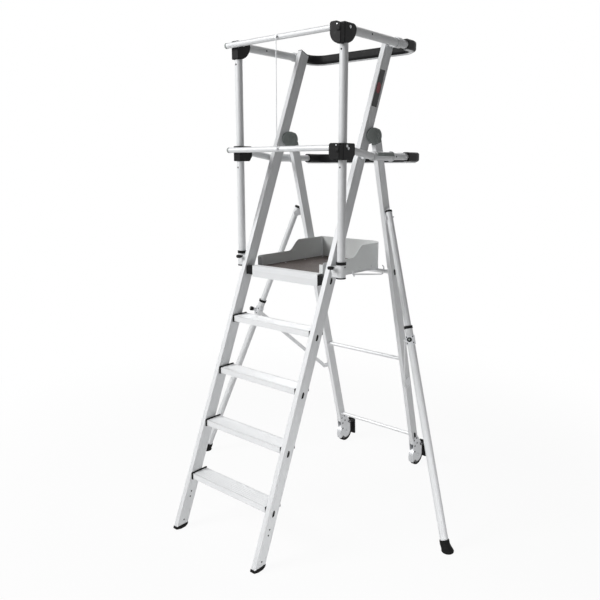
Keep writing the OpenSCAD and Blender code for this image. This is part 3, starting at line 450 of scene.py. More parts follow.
class Growth:
    # one tree, built with named inputs, that ends in realised geometry with its finish
    def __init__(self, name, inputs):
        self.tree = bpy.data.node_groups.new(name, "GeometryNodeTree")
        face = self.tree.interface
        face.new_socket("Geometry", in_out="INPUT", socket_type="NodeSocketGeometry")
        for label, kind in inputs.items():
            face.new_socket(label, in_out="INPUT", socket_type="NodeSocket" + kind)
        face.new_socket("Finish", in_out="INPUT", socket_type="NodeSocketMaterial")
        face.new_socket("Geometry", in_out="OUTPUT", socket_type="NodeSocketGeometry")
        self.given = self.tree.nodes.new("NodeGroupInput").outputs
        self.result = self.tree.nodes.new("NodeGroupOutput").inputs[0]

    def add(self, kind, values, **settings):
        made = self.tree.nodes.new(kind)
        for key, value in settings.items():
            setattr(made, key, value)
        for key, value in values.items():
            if isinstance(value, bpy.types.NodeSocket):
                self.tree.links.new(value, made.inputs[key])
            else:
                made.inputs[key].default_value = value
        return made.outputs[0]

    def times(self, first, second):
        return self.add("ShaderNodeMath", {0: first, 1: second}, operation="MULTIPLY")

    def vector(self, x, y, z):
        return self.add("ShaderNodeCombineXYZ", {0: x, 1: y, 2: z})

    def both(self, first, second):
        made = self.tree.nodes.new("GeometryNodeJoinGeometry")
        self.tree.links.new(first, made.inputs[0])
        self.tree.links.new(second, made.inputs[0])
        return made.outputs[0]

    def close(self, geometry):
        whole = self.add("GeometryNodeRealizeInstances", {0: geometry})
        dressed = self.add("GeometryNodeSetMaterial", {"Geometry": whole, "Material": self.given["Finish"]})
        self.tree.links.new(dressed, self.result)
        return self

    def grow(self, name, mesh, body, finish, **sizes):
        piece = placed(name, mesh)
        growth = piece.modifiers.new("growth", "NODES")
        growth.node_group = self.tree
        for item in self.tree.interface.items_tree:
            if item.in_out == "INPUT" and item.name in sizes:
                growth[item.identifier] = sizes[item.name]
            if item.in_out == "INPUT" and item.name == "Finish":
                growth[item.identifier] = finishes[finish]
        ready = piece.evaluated_get(bpy.context.evaluated_depsgraph_get())
        plain = bpy.data.meshes.new_from_object(ready)
        piece.modifiers.clear()
        piece.data = plain
        smoothed(plain)
        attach(piece, body)
        return piece


def pointMesh(name, spots):
    # loose points, each with the way that its fastener faces
    mesh = bpy.data.meshes.new(name)
    mesh.from_pydata([tuple(place) for place, facing in spots], [], [])
    ways = mesh.attributes.new("facing", "FLOAT_VECTOR", "POINT")
    for item, (place, facing) in zip(ways.data, spots):
        item.vector = facing
    return mesh


def pathMesh(name, points, closed=False):
    mesh = bpy.data.meshes.new(name)
    count = len(points)
    edges = [(i, i + 1) for i in range(count - 1)] + ([(count - 1, 0)] if closed else [])
    mesh.from_pydata([tuple(point) for point in points], edges, [])
    return mesh


def makeHeads():
    # a head with a broken top edge on a thin washer, set on every point
    tree = Growth("fastenerHeads", {"Radius": "Float", "Height": "Float", "Sides": "Int", "Washer": "Float"})
    radius, height, sides, washer = [tree.given[label] for label in ("Radius", "Height", "Sides", "Washer")]

    def cone(count, bottom, taper, depth):
        top = tree.times(bottom, taper) if taper < 1 else bottom
        return tree.add("GeometryNodeMeshCone", {"Vertices": count, "Radius Bottom": bottom, "Radius Top": top,
                                                 "Depth": depth})
    low = tree.times(height, 0.65)
    base = cone(sides, radius, 1, low)
    crown = cone(sides, radius, 0.72, tree.times(height, 0.35))
    crown = tree.add("GeometryNodeTransform", {"Geometry": crown, "Translation": tree.vector(0.0, 0.0, low)})
    ring = cone(20, washer, 0.92, tree.times(height, 0.3))
    head = tree.both(tree.both(base, crown), ring)
    way = tree.add("GeometryNodeInputNamedAttribute", {"Name": "facing"}, data_type="FLOAT_VECTOR")
    turn = tree.add("FunctionNodeAlignRotationToVector", {"Vector": way}, axis="Z")
    return tree.close(tree.add("GeometryNodeInstanceOnPoints", {
        "Points": tree.given["Geometry"], "Instance": head, "Rotation": turn}))


def makeRibs():
    # half round ribs side by side, each along x
    tree = Growth("gripRibs", {"Length": "Float", "Step": "Vector", "Count": "Int", "Width": "Float",
                               "Height": "Float", "Place": "Vector"})
    rib = tree.add("GeometryNodeMeshCylinder", {"Vertices": 8, "Radius": 0.5, "Depth": tree.given["Length"]})
    rib = tree.add("GeometryNodeTransform", {"Geometry": rib, "Rotation": acrossPart})
    size = tree.vector(1.0, tree.given["Width"], tree.given["Height"])
    row = tree.add("GeometryNodeMeshLine", {
        "Count": tree.given["Count"], "Start Location": tree.given["Place"], "Offset": tree.given["Step"]},
        mode="OFFSET", count_mode="TOTAL")
    return tree.close(tree.add("GeometryNodeInstanceOnPoints", {"Points": row, "Instance": rib, "Scale": size}))


def makeRing():
    # rods set round a circle, as the lobes of a knob
    tree = Growth("blockRing", {"Count": "Int", "Radius": "Float", "Block": "Vector", "Place": "Vector",
                                "Turn": "Vector"})
    circle = tree.add("GeometryNodeMeshCircle", {"Vertices": tree.given["Count"], "Radius": tree.given["Radius"]})
    block = tree.add("GeometryNodeMeshCylinder", {"Vertices": 8, "Radius": 0.5, "Depth": 1.0})
    here = tree.add("GeometryNodeInputPosition", {})
    turn = tree.add("FunctionNodeAlignRotationToVector", {"Vector": here}, axis="X")
    ring = tree.add("GeometryNodeInstanceOnPoints", {"Points": circle, "Instance": block, "Rotation": turn,
                                                     "Scale": tree.given["Block"]})
    return tree.close(tree.add("GeometryNodeTransform", {
        "Geometry": ring, "Rotation": tree.given["Turn"], "Translation": tree.given["Place"]}))


def makeTube():
    # a round tube along the mesh's own edges
    tree = Growth("pathTube", {"Radius": "Float", "Sides": "Int"})
    path = tree.add("GeometryNodeMeshToCurve", {"Mesh": tree.given["Geometry"]})
    ring = tree.add("GeometryNodeCurvePrimitiveCircle", {"Resolution": tree.given["Sides"],
                                                         "Radius": tree.given["Radius"]})
    return tree.close(tree.add("GeometryNodeCurveToMesh", {"Curve": path, "Profile Curve": ring, "Fill Caps": True}))


headTree, ribTree, ringTree, tubeTree = makeHeads(), makeRibs(), makeRing(), makeTube()


def heads(name, body, finish, spots, radius, height, sides=16, washer=0.0):
    # every entry that ends in Head holds a radius, a height, the sides and the washer's radius
    headTree.grow(name, pointMesh(name, spots), body, finish, Radius=radius / 1000, Height=height / 1000,
                  Sides=sides, Washer=max(washer, radius * 0.6) / 1000)


def tube(name, body, finish, points, radius, sides=20, closed=False):
    tubeTree.grow(name, pathMesh(name, points, closed), body, finish, Radius=radius / 1000, Sides=sides)


print("node trees ready")

# Every solid whose shape stays gets its edges broken
softEdges = {
    "extrusions": {"width": 0.0009, "segments": 2, "nodes": pair("ladder_stile") + pair("rear_stile")},
    "treads": {"width": 0.0006, "segments": 2, "nodes": treads + ["platform_nosing"]},
    "tubes": {"width": 0.0005, "segments": 1, "nodes": [
        "guard_posts", "top_rails", "mid_rails", "mid_rail_sleeves", "rear_cross_tubes", "platform_frame",
        *pair("brace")]},
    "mouldings": {"width": 0.0012, "segments": 2, "nodes": [
        "tread_end_caps", "stile_plugs", "socket_collars", "platform_bearings", "rear_hubs_and_plugs",
        *pair("brake_pedal"), "rail_clamps", "post_sockets"]},
    "backRails": {"width": 0.003, "segments": 3, "nodes": ["top_back_rail", "mid_back_rail"]},
    "boards": {"width": 0.0008, "segments": 2, "nodes": [
        "toe_board_left", "toe_board_back", "toe_board_right", "platform_deck"]},
    "fittings": {"width": 0.0008, "segments": 2, "nodes": [
        *pair("socket_knob"), "gate_link", "hinge_pins", "wheel_brackets", "outrigger_brackets", *pair("leg_clamp")]},
    "wheels": {"width": 0.0015, "segments": 2, "nodes": pair("wheel") + pair("tyre")},
}
for group in softEdges.values():
    for node in group["nodes"]:
        softened(node, group["width"], group["segments"])
print("edges softened")

# Corner fittings and gate knuckles
cornerFitting = {"front": 26, "reach": 63, "rise": 22, "drop": 63, "round": 74, "corner": 24, "halfWidth": 23,
                 "edge": 0.0045, "midRise": 30, "midDrop": 44, "midCorner": 9, "midSlope": (18, 24)}


def makeCornerFittings(size):
    front, back, small = postY - size["front"], postY + size["reach"], size["corner"]
    top = [(front, railZ + size["rise"])] + arc((back - small, railZ + size["rise"] - small), small, 90, 12, 8)
    top += arc((back - size["round"], railZ - size["drop"] + size["round"]), size["round"], -8, -90, 14)
    top += [(front, railZ - size["drop"])]
    rise, drop = midFrontZ + size["midRise"], midFrontZ - size["midDrop"]
    small, (slopeBack, slopeUp) = size["midCorner"], size["midSlope"]
    mid = [(front, rise), (back - small + 1, rise)] + arc((back - small, rise - small), small, 80, 10, 4)
    mid += [(back, drop + slopeUp), (back - slopeBack, drop), (front, drop)]
    for name, outline, node in (("cornerFittingsTop", top, "top_fittings"), ("cornerFittingsMid", mid, "mid_fittings")):
        blocks = twoSlabs(outline, postX - size["halfWidth"], postX + size["halfWidth"])
        rounded(keep(name, blocks, "ladder", "blackPlastic", [node]), size["edge"], 3, 30)


gateKnuckle = {"left": 285, "right": 344, "front": 496.5, "back": 526.5, "edge": 0.0055, "notch": (22, 19, 9),
               "corner": 6, "top": (22, 69, 50), "mid": (20, 53, 25)}  # rise, drop and bend of each


def makeKnuckle(label, axisZ, size):
    rise, drop, bend = size[label]
    name = "gateKnuckle" + label.capitalize()
    left, right, corner = size["left"], size["right"], size["corner"]
    notchStart, notchEnd, notchDeep = size["notch"]
    top, notchZ = axisZ + rise, axisZ + rise - notchDeep
    outline = [(left + corner, top), (right - notchStart, top), (right - notchEnd, notchZ), (right, notchZ),
               (right, axisZ - drop)]
    outline += arc((left + bend, axisZ - drop + bend), bend, 270, 180, 12)
    outline += [(left, top - corner)]
    block = slab(name, outline, size["front"], size["back"], "xz")
    rounded(keep(name, block, "gate_" + label, "blackPlastic", ["gate_knuckle_" + label]), size["edge"], 3, 30)


makeCornerFittings(cornerFitting)
for label, z in bothGates:
    makeKnuckle(label, z, gateKnuckle)
print("corner fittings ready")

# Gate bars with lengthwise grooves, a plug in the free end and an eye for the link rod
gateBar = {"left": -364, "right": 317, "y": 512, "radius": 13, "grooves": (-58, -20, 20, 58), "linkX": -18,
           "facing": (0, -1, 0.35), "edge": 0.0005, "endIn": 6, "plugIn": 9,
           "plug": ((6, -2), (13.2, -2), (13.6, -0.5), (13.6, 7), (12.4, 9), (8, 9), (7, 6.5)),
           "eye": ((2.6, -11), (5, -11), (5.6, -10), (5.6, 3), (6.6, 4))}


def makeGateBar(label, z, size):
    name, body = "gateBar" + label.capitalize(), "gate_" + label
    left, y, radius = size["left"], size["y"], size["radius"]
    bar = groovedTube(name, at(left + size["endIn"], y, z), at(size["right"], y, z), radius, size["facing"],
                      size["grooves"])
    rounded(keep(name, bar, body, "crossTube", ["gate_bar_" + label]), size["edge"], 1, 50)
    plug = turned(name + "Plug", size["plug"], at(left + size["plugIn"], y, z), (-1, 0, 0))
    keep(name + "Plug", plug, body, "hingePlastic")
    eye = turned(name + "Eye", size["eye"], at(size["linkX"], y - radius, z), (0, 1, 0), 20)
    keep(name + "Eye", eye, body, "zincSteel")


for label, z in bothGates:
    makeGateBar(label, z, gateBar)
print("gate bars ready")

# Main hinge casings with ring ridges
hingeCasing = {"y": 873.08, "z": 1902, "radius": 38, "frontY": 791, "edge": 0.004, "rings": (31, 21),
               "cheeks": ((279, 291, 291, 1), (243, 255, 243, -1)),  # inner, outer, open face, way it looks
               "ridge": ((-2.6, -1), (-2.4, 0.7), (-1.4, 1.5), (1.4, 1.5), (2.4, 0.7), (2.6, -1)),
               "dome": ((12, -1), (12, 1.2), (10.5, 3), (6, 4.2), (1.5, 4.6))}


def makeHingeCasings(size):
    # a drum round the pin, drawn out towards the stile
    y, z, big = size["y"], size["z"], size["radius"]
    middle, half = (y + big + size["frontY"]) / 2, (y + big - size["frontY"]) / 2
    outline = [(middle + half * a, z + big * b) for a, b in arc((0, 0), 1, 0, 352, 44)]
    cheeks, ridges = [], []
    for side in (-1, 1):
        for low, high, face, way in size["cheeks"]:
            cheeks.append(slab("cheek", outline, *between(side, low, high)))
            centre, facing = at(side * face, y, z), (side * way, 0, 0)
            for radius in size["rings"]:
                ridge = [(radius + out, height) for out, height in size["ridge"]]
                ridges.append(ringSolid("ridge", ridge, centre, facing))
            ridges.append(turned("dome", size["dome"], centre, facing, 28))
    rounded(keep("hingeCasings", cheeks, "ladder", "hingePlastic", ["hinge_brackets"]), size["edge"], 3, 30)
    keep("hingeRidges", ridges, "ladder", "hingePlastic")


makeHingeCasings(hingeCasing)
print("hinge casings ready")

# Outriggers: grooved tubes, caps and knobs
outrigger = {"pivot": (310, 969.4956, 1508.268), "down": (0.325535, -0.160301, -0.931842),
             "pinWay": (0.777146, 0.606725, 0.16712), "knobWay": (0.39545, -0.872109, 0.288175),
             "clampAt": 620, "armTop": -30, "armEnd": 720, "legTop": 548, "armRadius": 16, "legRadius": 19,
             "grooves": (0, 90, 180, 270), "edge": 0.0004,
             "cap": ((10, 3), (17.2, 3), (17.7, 2), (17.7, -4.5), (16.2, -7), (9, -8), (2, -8)),
             "grip": ((5, 20), (5, 40.5), (8.5, 41), (10.8, 43), (11, 57), (9.5, 58.5), (4, 59), (1.2, 58))}


def legLine(side):
    # where an outrigger pivots, and the way that its leg points
    x, y, z = outrigger["pivot"]
    return at(x * side, y, z), mirrored(outrigger["down"], side)


def makeOutrigger(side, tag, size):
    pivot, down = legLine(side)
    front = mirrored(size["pinWay"], side).cross(down) * side
    low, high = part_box("outrigger_leg_" + tag)
    slant = 2 * size["legRadius"] * math.sqrt(1 - down.z ** 2)  # the height that the leg's square ends add
    legEnd = size["legTop"] + ((high[2] - low[2]) * 1000 - slant) / abs(down.z)

    def along(s):
        return pivot + down * (s / 1000)

    def section(name, body, start, end, radius):
        mesh = groovedTube(body, along(start), along(end), radius, front, size["grooves"])
        piece = keep(name + tag, mesh, body, "legTube" + tag.capitalize(), ["outrigger_" + body])
        rounded(piece, size["edge"], 1, 60)
    section("outriggerArm_", "arm_" + tag, size["armTop"], size["armEnd"], size["armRadius"])
    section("outriggerLeg_", "leg_" + tag, size["legTop"], legEnd, size["legRadius"])
    keep("armCap_" + tag, turned("cap", size["cap"], along(size["armTop"]), down, 28), "arm_" + tag, "blackPlastic")
    grip = turned("grip", size["grip"], along(size["clampAt"]), mirrored(size["knobWay"], side))
    keep("legKnob_" + tag, grip, "pull_knob_" + tag, "blackPlastic", ["leg_knob_" + tag])


slimRing = {"from": 0.546, "to": 0.564, "newFrom": 0.552, "newTo": 0.5635, "bore": 0.0192, "wall": 0.35,
            "below": 0.58}


def slimCollar(side, tag, size):
    # thins the metal ring at the leg's top, which the black collar covers
    pivot, down = legLine(side)
    scale = (size["newTo"] - size["newFrom"]) / (size["to"] - size["from"])
    for vertex in bpy.data.objects["leg_clamp_%s_soft" % tag].data.vertices:
        reach = (vertex.co - pivot).dot(down)
        if reach > size["below"]:
            continue
        out = vertex.co - pivot - down * reach
        if out.length > size["bore"]:
            out *= (size["bore"] + (out.length - size["bore"]) * size["wall"]) / out.length
        vertex.co = pivot + down * (size["newFrom"] + (reach - size["from"]) * scale) + out


for side, tag in bothSides:
    makeOutrigger(side, tag, outrigger)
    slimCollar(side, tag, slimRing)
print("outriggers ready")

# Feet, and small metal and plastic details on the ladder and the cage

def frontY(z):
    # the front of the ladder's stiles at a height
    return z * math.tan(ladderLean)


def rearAt(x, depth, along):
    # a place on the rear frame, by depth behind its front face and length up the stile
    return at(x, rearBaseY + depth * math.cos(rearLean) - along * math.sin(rearLean),
              depth * math.sin(rearLean) + along * math.cos(rearLean))


def tilted(shape, y, z, lean):
    # an upright shape set at a place and leaned as its stile is
    return [(y + across * math.cos(lean) + along * math.sin(lean),
             z - across * math.sin(lean) + along * math.cos(lean)) for across, along in shape]


shoe = {"height": 20, "knee": 0.42, "lip": 2.5, "nose": 30, "heel": 8, "sole": 0.3, "edge": 0.003}


def makeShoes(size):
    # rubber boots round the ladder's feet, with the sole lifted at both ends
    top, lip, sole = size["height"], size["lip"], size["sole"]
    knee, back = top * size["knee"], stileDepth + lip
    outline = [(frontY(top) - lip, top), (frontY(knee) - lip, knee), (size["nose"], sole),
               (stileDepth - size["heel"], sole), (frontY(knee) + back, knee), (frontY(top) + back, top)]
    boots = twoSlabs(outline, stileInnerX - lip, stileX + lip)
    rounded(keep("shoes", boots, "ladder", "shoeRubber", ["front_feet"]), size["edge"], 3, 25)


# rows hold height in metres, radius in millimetres, and 0 for square to the tube up to 1 for level
legBoot = {"rows": ((0.052, 19.6, 0), (0.052, 22.2, 0), (0.049, 23, 0), (0.034, 23.4, 0), (0.022, 25, 0.35),
                    (0.013, 27.6, 0.8), (0.008, 29, 1), (0.004, 29.2, 1), (0.001, 27.8, 1), (0.0002, 26.5, 1)),
           "outward": 0.003, "backward": 0.006, "segments": 36}


def makeLegBoot(side, tag, size):
    # a bell shaped boot: square to the tube at its top, flat on the floor
    pivot, down = legLine(side)
    tip = pivot + down * (pivot.z / -down.z)
    rings = []
    for height, radius, flat in size["rows"]:
        onLeg = tip - down * (height / -down.z)
        level = tip + Vector((side * size["outward"], size["backward"], height))
        centre = onLeg.lerp(level, flat)
        axis = (-down).lerp(Vector((0, 0, 1)), flat).normalized()
        out = (Vector((1, 0, 0)) - axis * axis.x).normalized()
        other = axis.cross(out)
        rings.append([centre + (out * math.cos(a) + other * math.sin(a)) * (radius / 1000)
                      for a in spin(size["segments"])])
    keep("legBoot_" + tag, stacked("legBoot_" + tag, rings), "leg_" + tag, "shoeRubber", ["leg_foot_" + tag])


stilePlug = {"heights": (240, 490, 740, 990, 1240), "depth": 33.4, "half": 6.5, "straight": 6.5, "proud": 2.2,
             "edge": 0.0009}


def makeStilePlugs(size):
    plugs = []
    for z in size["heights"]:
        outline = tilted(oval(size["half"], size["straight"]), frontY(z) + size["depth"], z, ladderLean)
        plugs += twoSlabs(outline, stileX, stileX + size["proud"])
    rounded(keep("stilePlugCaps", plugs, "ladder", "blackPlastic"), size["edge"], 2, 40)


edgeStrip = {"low": 2037, "high": 2208, "from": 7, "to": 50, "skew": (3, -4, 0, 1), "thick": 0.5, "edge": 0.0002,
             "patchZ": 2124, "patchHalf": 14, "patchStraight": 13, "patchThick": 0.3, "patchEdge": 0.0001}


def makeEdgeStrip(size):
    # a plain dark strip with one plain red patch on the right stile
    low, high, near, far = size["low"], size["high"], size["from"], size["to"]
    corners = ((low, near), (low, far), (high, far), (high, near))
    outline = [(frontY(z) + depth, z + skew) for (z, depth), skew in zip(corners, size["skew"])]
    face = stileX + size["thick"]
    strip = slab("strip", outline, stileX, face)
    rounded(keep("edgeStrip", strip, "ladder", "stripFilm"), size["edge"], 1)
    z = size["patchZ"]
    outline = tilted(oval(size["patchHalf"], size["patchStraight"], 12), frontY(z) + (near + far) / 2, z, ladderLean)
    patch = slab("patch", outline, face, face + size["patchThick"])
    rounded(keep("edgeStripPatch", patch, "ladder", "patchFilm"), size["patchEdge"], 1)


makeShoes(shoe)
for side, tag in bothSides:
    makeLegBoot(side, tag, legBoot)
makeStilePlugs(stilePlug)
makeEdgeStrip(edgeStrip)

cageFastener = {"stileHoles": ((51.5, 42), (105, 174.5), (96, 150)), "postHoles": (2247, 1754), "tubeFace": 18.9,
                "railHoles": (737, 735), "midFace": 16.6, "midHole": 972, "fittingFace": 23,
                "cornerBolts": ((567, 2337), (555, 1846), (566, 1836)), "knuckleFront": 496.5,
                "rivetTop": (326, 2341), "rivetMid": (328, 1849), "pivotX": 333, "pivotDrop": 12,
                "stileHead": (3.4, 0.8, 14, 4.2), "railHead": (3.6, 0.9, 14, 4.4), "boltHead": (5, 3.2, 6, 6.6),
                "rivetHead": (3.2, 1.6), "pivotHead": (9, 3.5, 28, 11)}


def sideways(side, x, y, z, way=1):
    # a place on a face that looks across the part, and the way that it looks
    return at(side * x, y, z), (side * way, 0, 0)


def makeFasteners(size):
    toFront, wall, front = (0, -1, 0), size["tubeFace"], size["knuckleFront"]
    stileHoles = [sideways(side, x, y, z, way) for y, z in size["stileHoles"] for side in (-1, 1)
                  for x, way in ((stileX, 1), (stileInnerX, -1))]
    # dark discs in the hole shade finish: painted shade standing in for the inside of the stiles' holes
    heads("stileHoleShadeDiscs", "ladder", "holeShade", stileHoles, *size["stileHead"])
    holes, bolts = [], []
    outerY, innerY = size["railHoles"]
    for side in (-1, 1):
        holes += [(at(side * postX, postY - wall, z), toFront) for z in size["postHoles"]]
        holes += [sideways(side, postX + wall, outerY, railZ), sideways(side, postX - wall, innerY, railZ, -1),
                  sideways(side, postX + size["midFace"], size["midHole"], midRailZ)]
        bolts += [sideways(side, postX + way * size["fittingFace"], y, z, way) for way in (1, -1)
                  for y, z in size["cornerBolts"]]
    # dark discs in the hole shade finish: painted shade standing in for the inside of the posts' and rails' holes
    heads("railHoles", "ladder", "holeShade", holes, *size["railHead"])
    heads("cornerBolts", "ladder", "zincSteel", bolts, *size["boltHead"])
    for label, gateZ in bothGates:
        body, title = "gate_" + label, label.capitalize()
        x, z = size["rivet" + title]
        heads("knuckleRivet" + title, body, "zincSteel", [(at(x, front, z), toFront)], *size["rivetHead"])
        pivot = at(size["pivotX"], front, gateZ - size["pivotDrop"])
        heads("knucklePivot" + title, body, "blackPlastic", [(pivot, toFront)], *size["pivotHead"])


makeFasteners(cageFastener)
print("fasteners ready")

socketTrim = {"z": 1253.8, "ring": ((19, 0), (22.6, 0), (23, 1), (23, 5), (22.3, 6), (19, 6)), "screwZ": 1309,
              "radius": 22, "angles": (235, 0), "screwHead": (3.2, 1.4, 14, 4)}


def makeSocketTrim(size):
    rings, screws = [], []
    for side in (-1, 1):
        rings.append(ringSolid("ring", size["ring"], at(side * postX, postY, size["z"]), (0, 0, 1)))
        for angle in size["angles"]:
            way = Vector((side * math.cos(math.radians(angle)), math.sin(math.radians(angle)), 0))
            screws.append((at(side * postX, postY, size["screwZ"]) + way * (size["radius"] / 1000), tuple(way)))
    keep("socketRings", rings, "ladder", "blackPlastic")
    # the screw heads take the dark hole shade finish, a painted shade
    heads("socketScrews", "ladder", "holeShade", screws, *size["screwHead"])


makeSocketTrim(socketTrim)

# Grip ribs on the treads and the nosing, each kind with the place of its first rib behind and below the front edge
gripRib = {"inset": 0.006, "topRows": (0.0133, 0.0164), "frontDrop": 0.0065, "nosingDrop": 0.005, "nosingBack": 0.007,
           "top": {"Step": (0, 0.07 / 6, 0), "Count": 6, "Width": 0.0016, "Height": 0.0011},
           "front": {"Step": (0, 0, -0.007), "Count": 3, "Width": 0.0012, "Height": 0.0022},
           "nosingFront": {"Step": (0, 0, -0.0058), "Count": 4, "Width": 0.0022, "Height": 0.003},
           "nosingTop": {"Step": (0, 0.006, 0), "Count": 5, "Width": 0.003, "Height": 0.0014}}


def makeGripRibs(size):
    def ribs(name, node, finish, back, drop, kind):
        low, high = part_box(node)
        ribTree.grow(name, bpy.data.meshes.new(name), bodyOf[node], finish, Length=high[0] - low[0] - size["inset"],
                     Place=(0, low[1] + back, high[2] - drop), **size[kind])
    for i, tread in enumerate(treads, 1):
        for row, back in enumerate(size["topRows"]):
            ribs("treadRibs_%d_%d" % (i, row), tread, "treadMetal", back, 0, "top")
        ribs("treadFrontRibs_%d" % i, tread, "treadMetal", 0, size["frontDrop"], "front")
    ribs("nosingRibs", "platform_nosing", "crossTube", 0, size["nosingDrop"], "nosingFront")
    ribs("nosingTopRibs", "platform_nosing", "crossTube", size["nosingBack"], 0, "nosingTop")


makeGripRibs(gripRib)
print("grip ribs ready")

# Bright tube under the black back rails
backTube = {"radius": 12, "bend": 75, "drop": 17,
            "top": (1044, 1163.03, railZ + 3), "mid": (1085, 1231.04, midRailZ)}  # front, back and height


def makeBackTube(label, size):
    # from the left side round both corners to the right side
    startY, endY, z = size[label]
    bend, far = size["bend"], endY - size["bend"]
    plan = [(-postX, startY)] + arc((bend - postX, far), bend, 180, 90, 10)
    plan += arc((postX - bend, far), bend, 90, 0, 10) + [(postX, startY)]
    path = [at(x, y, z - size["drop"]) for x, y in plan]
    tube("backTube" + label.capitalize(), "ladder", "depthTube", path, size["radius"])


for label in ("top", "mid"):
    makeBackTube(label, backTube)

# Sleeves on the middle rails: a grey strip and a ring near the rear end
railSleeve = {"outer": 24.4, "inner": 21.4, "strip": (2, 48), "stripFrom": 806.5, "stripTo": 942.5, "ringY": 946.5,
              "ring": ((20, -3), (24.3, -3), (24.8, -2), (24.8, 2), (24.3, 3), (20, 3))}


def makeSleeveTrim(size):
    strips, rings = [], []
    for side in (-1, 1):
        centre = (side * postX, midRailZ)
        first, last = [angle if side > 0 else 180 - angle for angle in size["strip"]]
        outline = arc(centre, size["outer"], first, last, 14) + arc(centre, size["inner"], last, first, 14)
        strips.append(slab("strip", outline, size["stripFrom"], size["stripTo"], "xz"))
        rings.append(ringSolid("ring", size["ring"], at(side * postX, size["ringY"], midRailZ), (0, 1, 0)))
    keep("sleeveStrips", strips, "ladder", "hingePlastic")
    keep("sleeveRings", rings, "ladder", "zincSteel")


makeSleeveTrim(railSleeve)
print("rails ready")

# Platform trim: corner seam, screws, rivets, and the catch rod and ring under the tray
platformBody = bodyOf["platform_deck"]
platformTrim = {"seam": ((-208.9, 1080.3), (-203, 1080.3), (-204.5, 1077.5), (-206.5, 1075.5), (-208.9, 1074)),
                "seamHeights": (1260.2, 1368), "deckZ": 1260,
                "screws": (((-185, 0, 160), (580, 1060)), ((-185, 190), (740, 900))),  # places across and along
                "rivetZ": 1254, "sideX": 212, "sideRivets": (600, 720, 860, 960),
                "backY": 1086.4, "backRivets": (-150, 0, 90),
                "rodX": 204, "rodRadius": 3.2, "rod": ((806, 1246), (812, 1232), (824, 1228), (1070, 1197),
                                                       (1084, 1200), (1092, 1212), (1092, 1234), (1080, 1243)),
                "ring": (822, 1223), "ringRadius": 5.5, "ringWire": 2,
                "screwHead": (4.2, 0.9, 16, 5.2), "rivetHead": (4, 1.4, 16, 5)}


def makePlatformTrim(size):
    ends = [[at(x, y, z) for x, y in size["seam"]] for z in size["seamHeights"]]
    keep("toeSeam", prism("toeSeam", *ends), platformBody, "zincSteel")
    screws = [(at(x, y, size["deckZ"]), (0, 0, 1)) for across, along in size["screws"] for x in across for y in along]
    heads("deckScrews", platformBody, "zincSteel", screws, *size["screwHead"])
    rivets = [sideways(side, size["sideX"], y, size["rivetZ"]) for y in size["sideRivets"] for side in (1, -1)]
    rivets += [(at(x, size["backY"], size["rivetZ"]), (0, 1, 0)) for x in size["backRivets"]]
    heads("toeRivets", platformBody, "zincSteel", rivets, *size["rivetHead"])
    rod = [at(size["rodX"], y, z) for y, z in size["rod"]]
    tube("catchRod", platformBody, "zincSteel", rod, size["rodRadius"], 14)
    hook = [at(size["rodX"], y, z) for y, z in arc(size["ring"], size["ringRadius"], 0, 330, 11)]
    tube("catchRing", platformBody, "zincSteel", hook, size["ringWire"], 10, True)


toeSweep = {"from": 795, "to": 882.4, "low": 1315, "high": 1371, "outer": 212.05, "inner": 208.95, "steps": 16,
            "under": ((870.4, 1361.5), (840.5, 1313), (795, 1313))}


def makeToeSweeps(size):
    # the step in each side board rises in one smooth sweep
    run, rise = size["to"] - size["from"], size["high"] - size["low"]
    sweep = [i / size["steps"] for i in range(size["steps"] + 1)]
    outline = [(size["from"] + run * t, size["low"] + rise * t * t * (3 - 2 * t)) for t in sweep]
    outline += size["under"]
    for side, name, finish in ((-1, "toeSweepLeft", "boardPaintedFrontShade"), (1, "toeSweepRight", "boardPlastic")):
        keep(name, slab(name, outline, *between(side, size["inner"], size["outer"])), platformBody, finish)


makePlatformTrim(platformTrim)
makeToeSweeps(toeSweep)
print("platform trim ready")

# Rear frame: axle nuts, housing rivets, plug caps and slimmer fork plates
rearTrim = {"faces": ((281.5, 1), (252.5, -1)), "axle": (1409.35, 62),
            "rivets": ((14, 172), (42, 172), (14, 132), (40, 138), (6, 96)),
            "plugs": ((1081.8, 1213.5, 279), (1360.1, 203.2, 281.5)),  # y, z and the face that each stands on
            "plugHalf": 6.5, "plugStraight": 9.5, "plugSeat": 278, "plugProud": 1.8, "plugEdge": 0.0008,
            "nutHead": (9, 5.5, 6, 12), "rivetHead": (4.2, 1.8, 14, 5.6)}


def makeRearTrim(size):
    nuts, rivets, plugs = [], [], []
    for side in (-1, 1):
        for x, way in size["faces"]:
            nuts.append(sideways(side, x, *size["axle"], way))
            rivets += [(rearAt(side * x, depth, along), (side * way, 0, 0)) for depth, along in size["rivets"]]
    for y, z, face in size["plugs"]:
        outline = tilted(oval(size["plugHalf"], size["plugStraight"]), y, z, -rearLean)
        plugs += twoSlabs(outline, size["plugSeat"], face + size["plugProud"])
    rounded(keep("rearPlugCaps", plugs, "rear_frame", "blackPlastic"), size["plugEdge"], 2, 40)
    heads("axleNuts", "rear_frame", "zincSteel", nuts, *size["nutHead"])
    heads("housingRivets", "rear_frame", "blackPlastic", rivets, *size["rivetHead"])


forkPlate = {"inside": 0.044, "outside": 0.05, "share": 0.82}


def slimForks(size):
    # draws the round end of the fork plates in, so that more of the tyre shows
    axle = at(0, *rearTrim["axle"])
    for vertex in bpy.data.objects["wheel_brackets_soft"].data.vertices:
        y, z = vertex.co.y - axle.y, vertex.co.z - axle.z
        if size["inside"] < math.hypot(y, z) < size["outside"]:
            vertex.co.y = axle.y + y * size["share"]
            vertex.co.z = axle.z + z * size["share"]


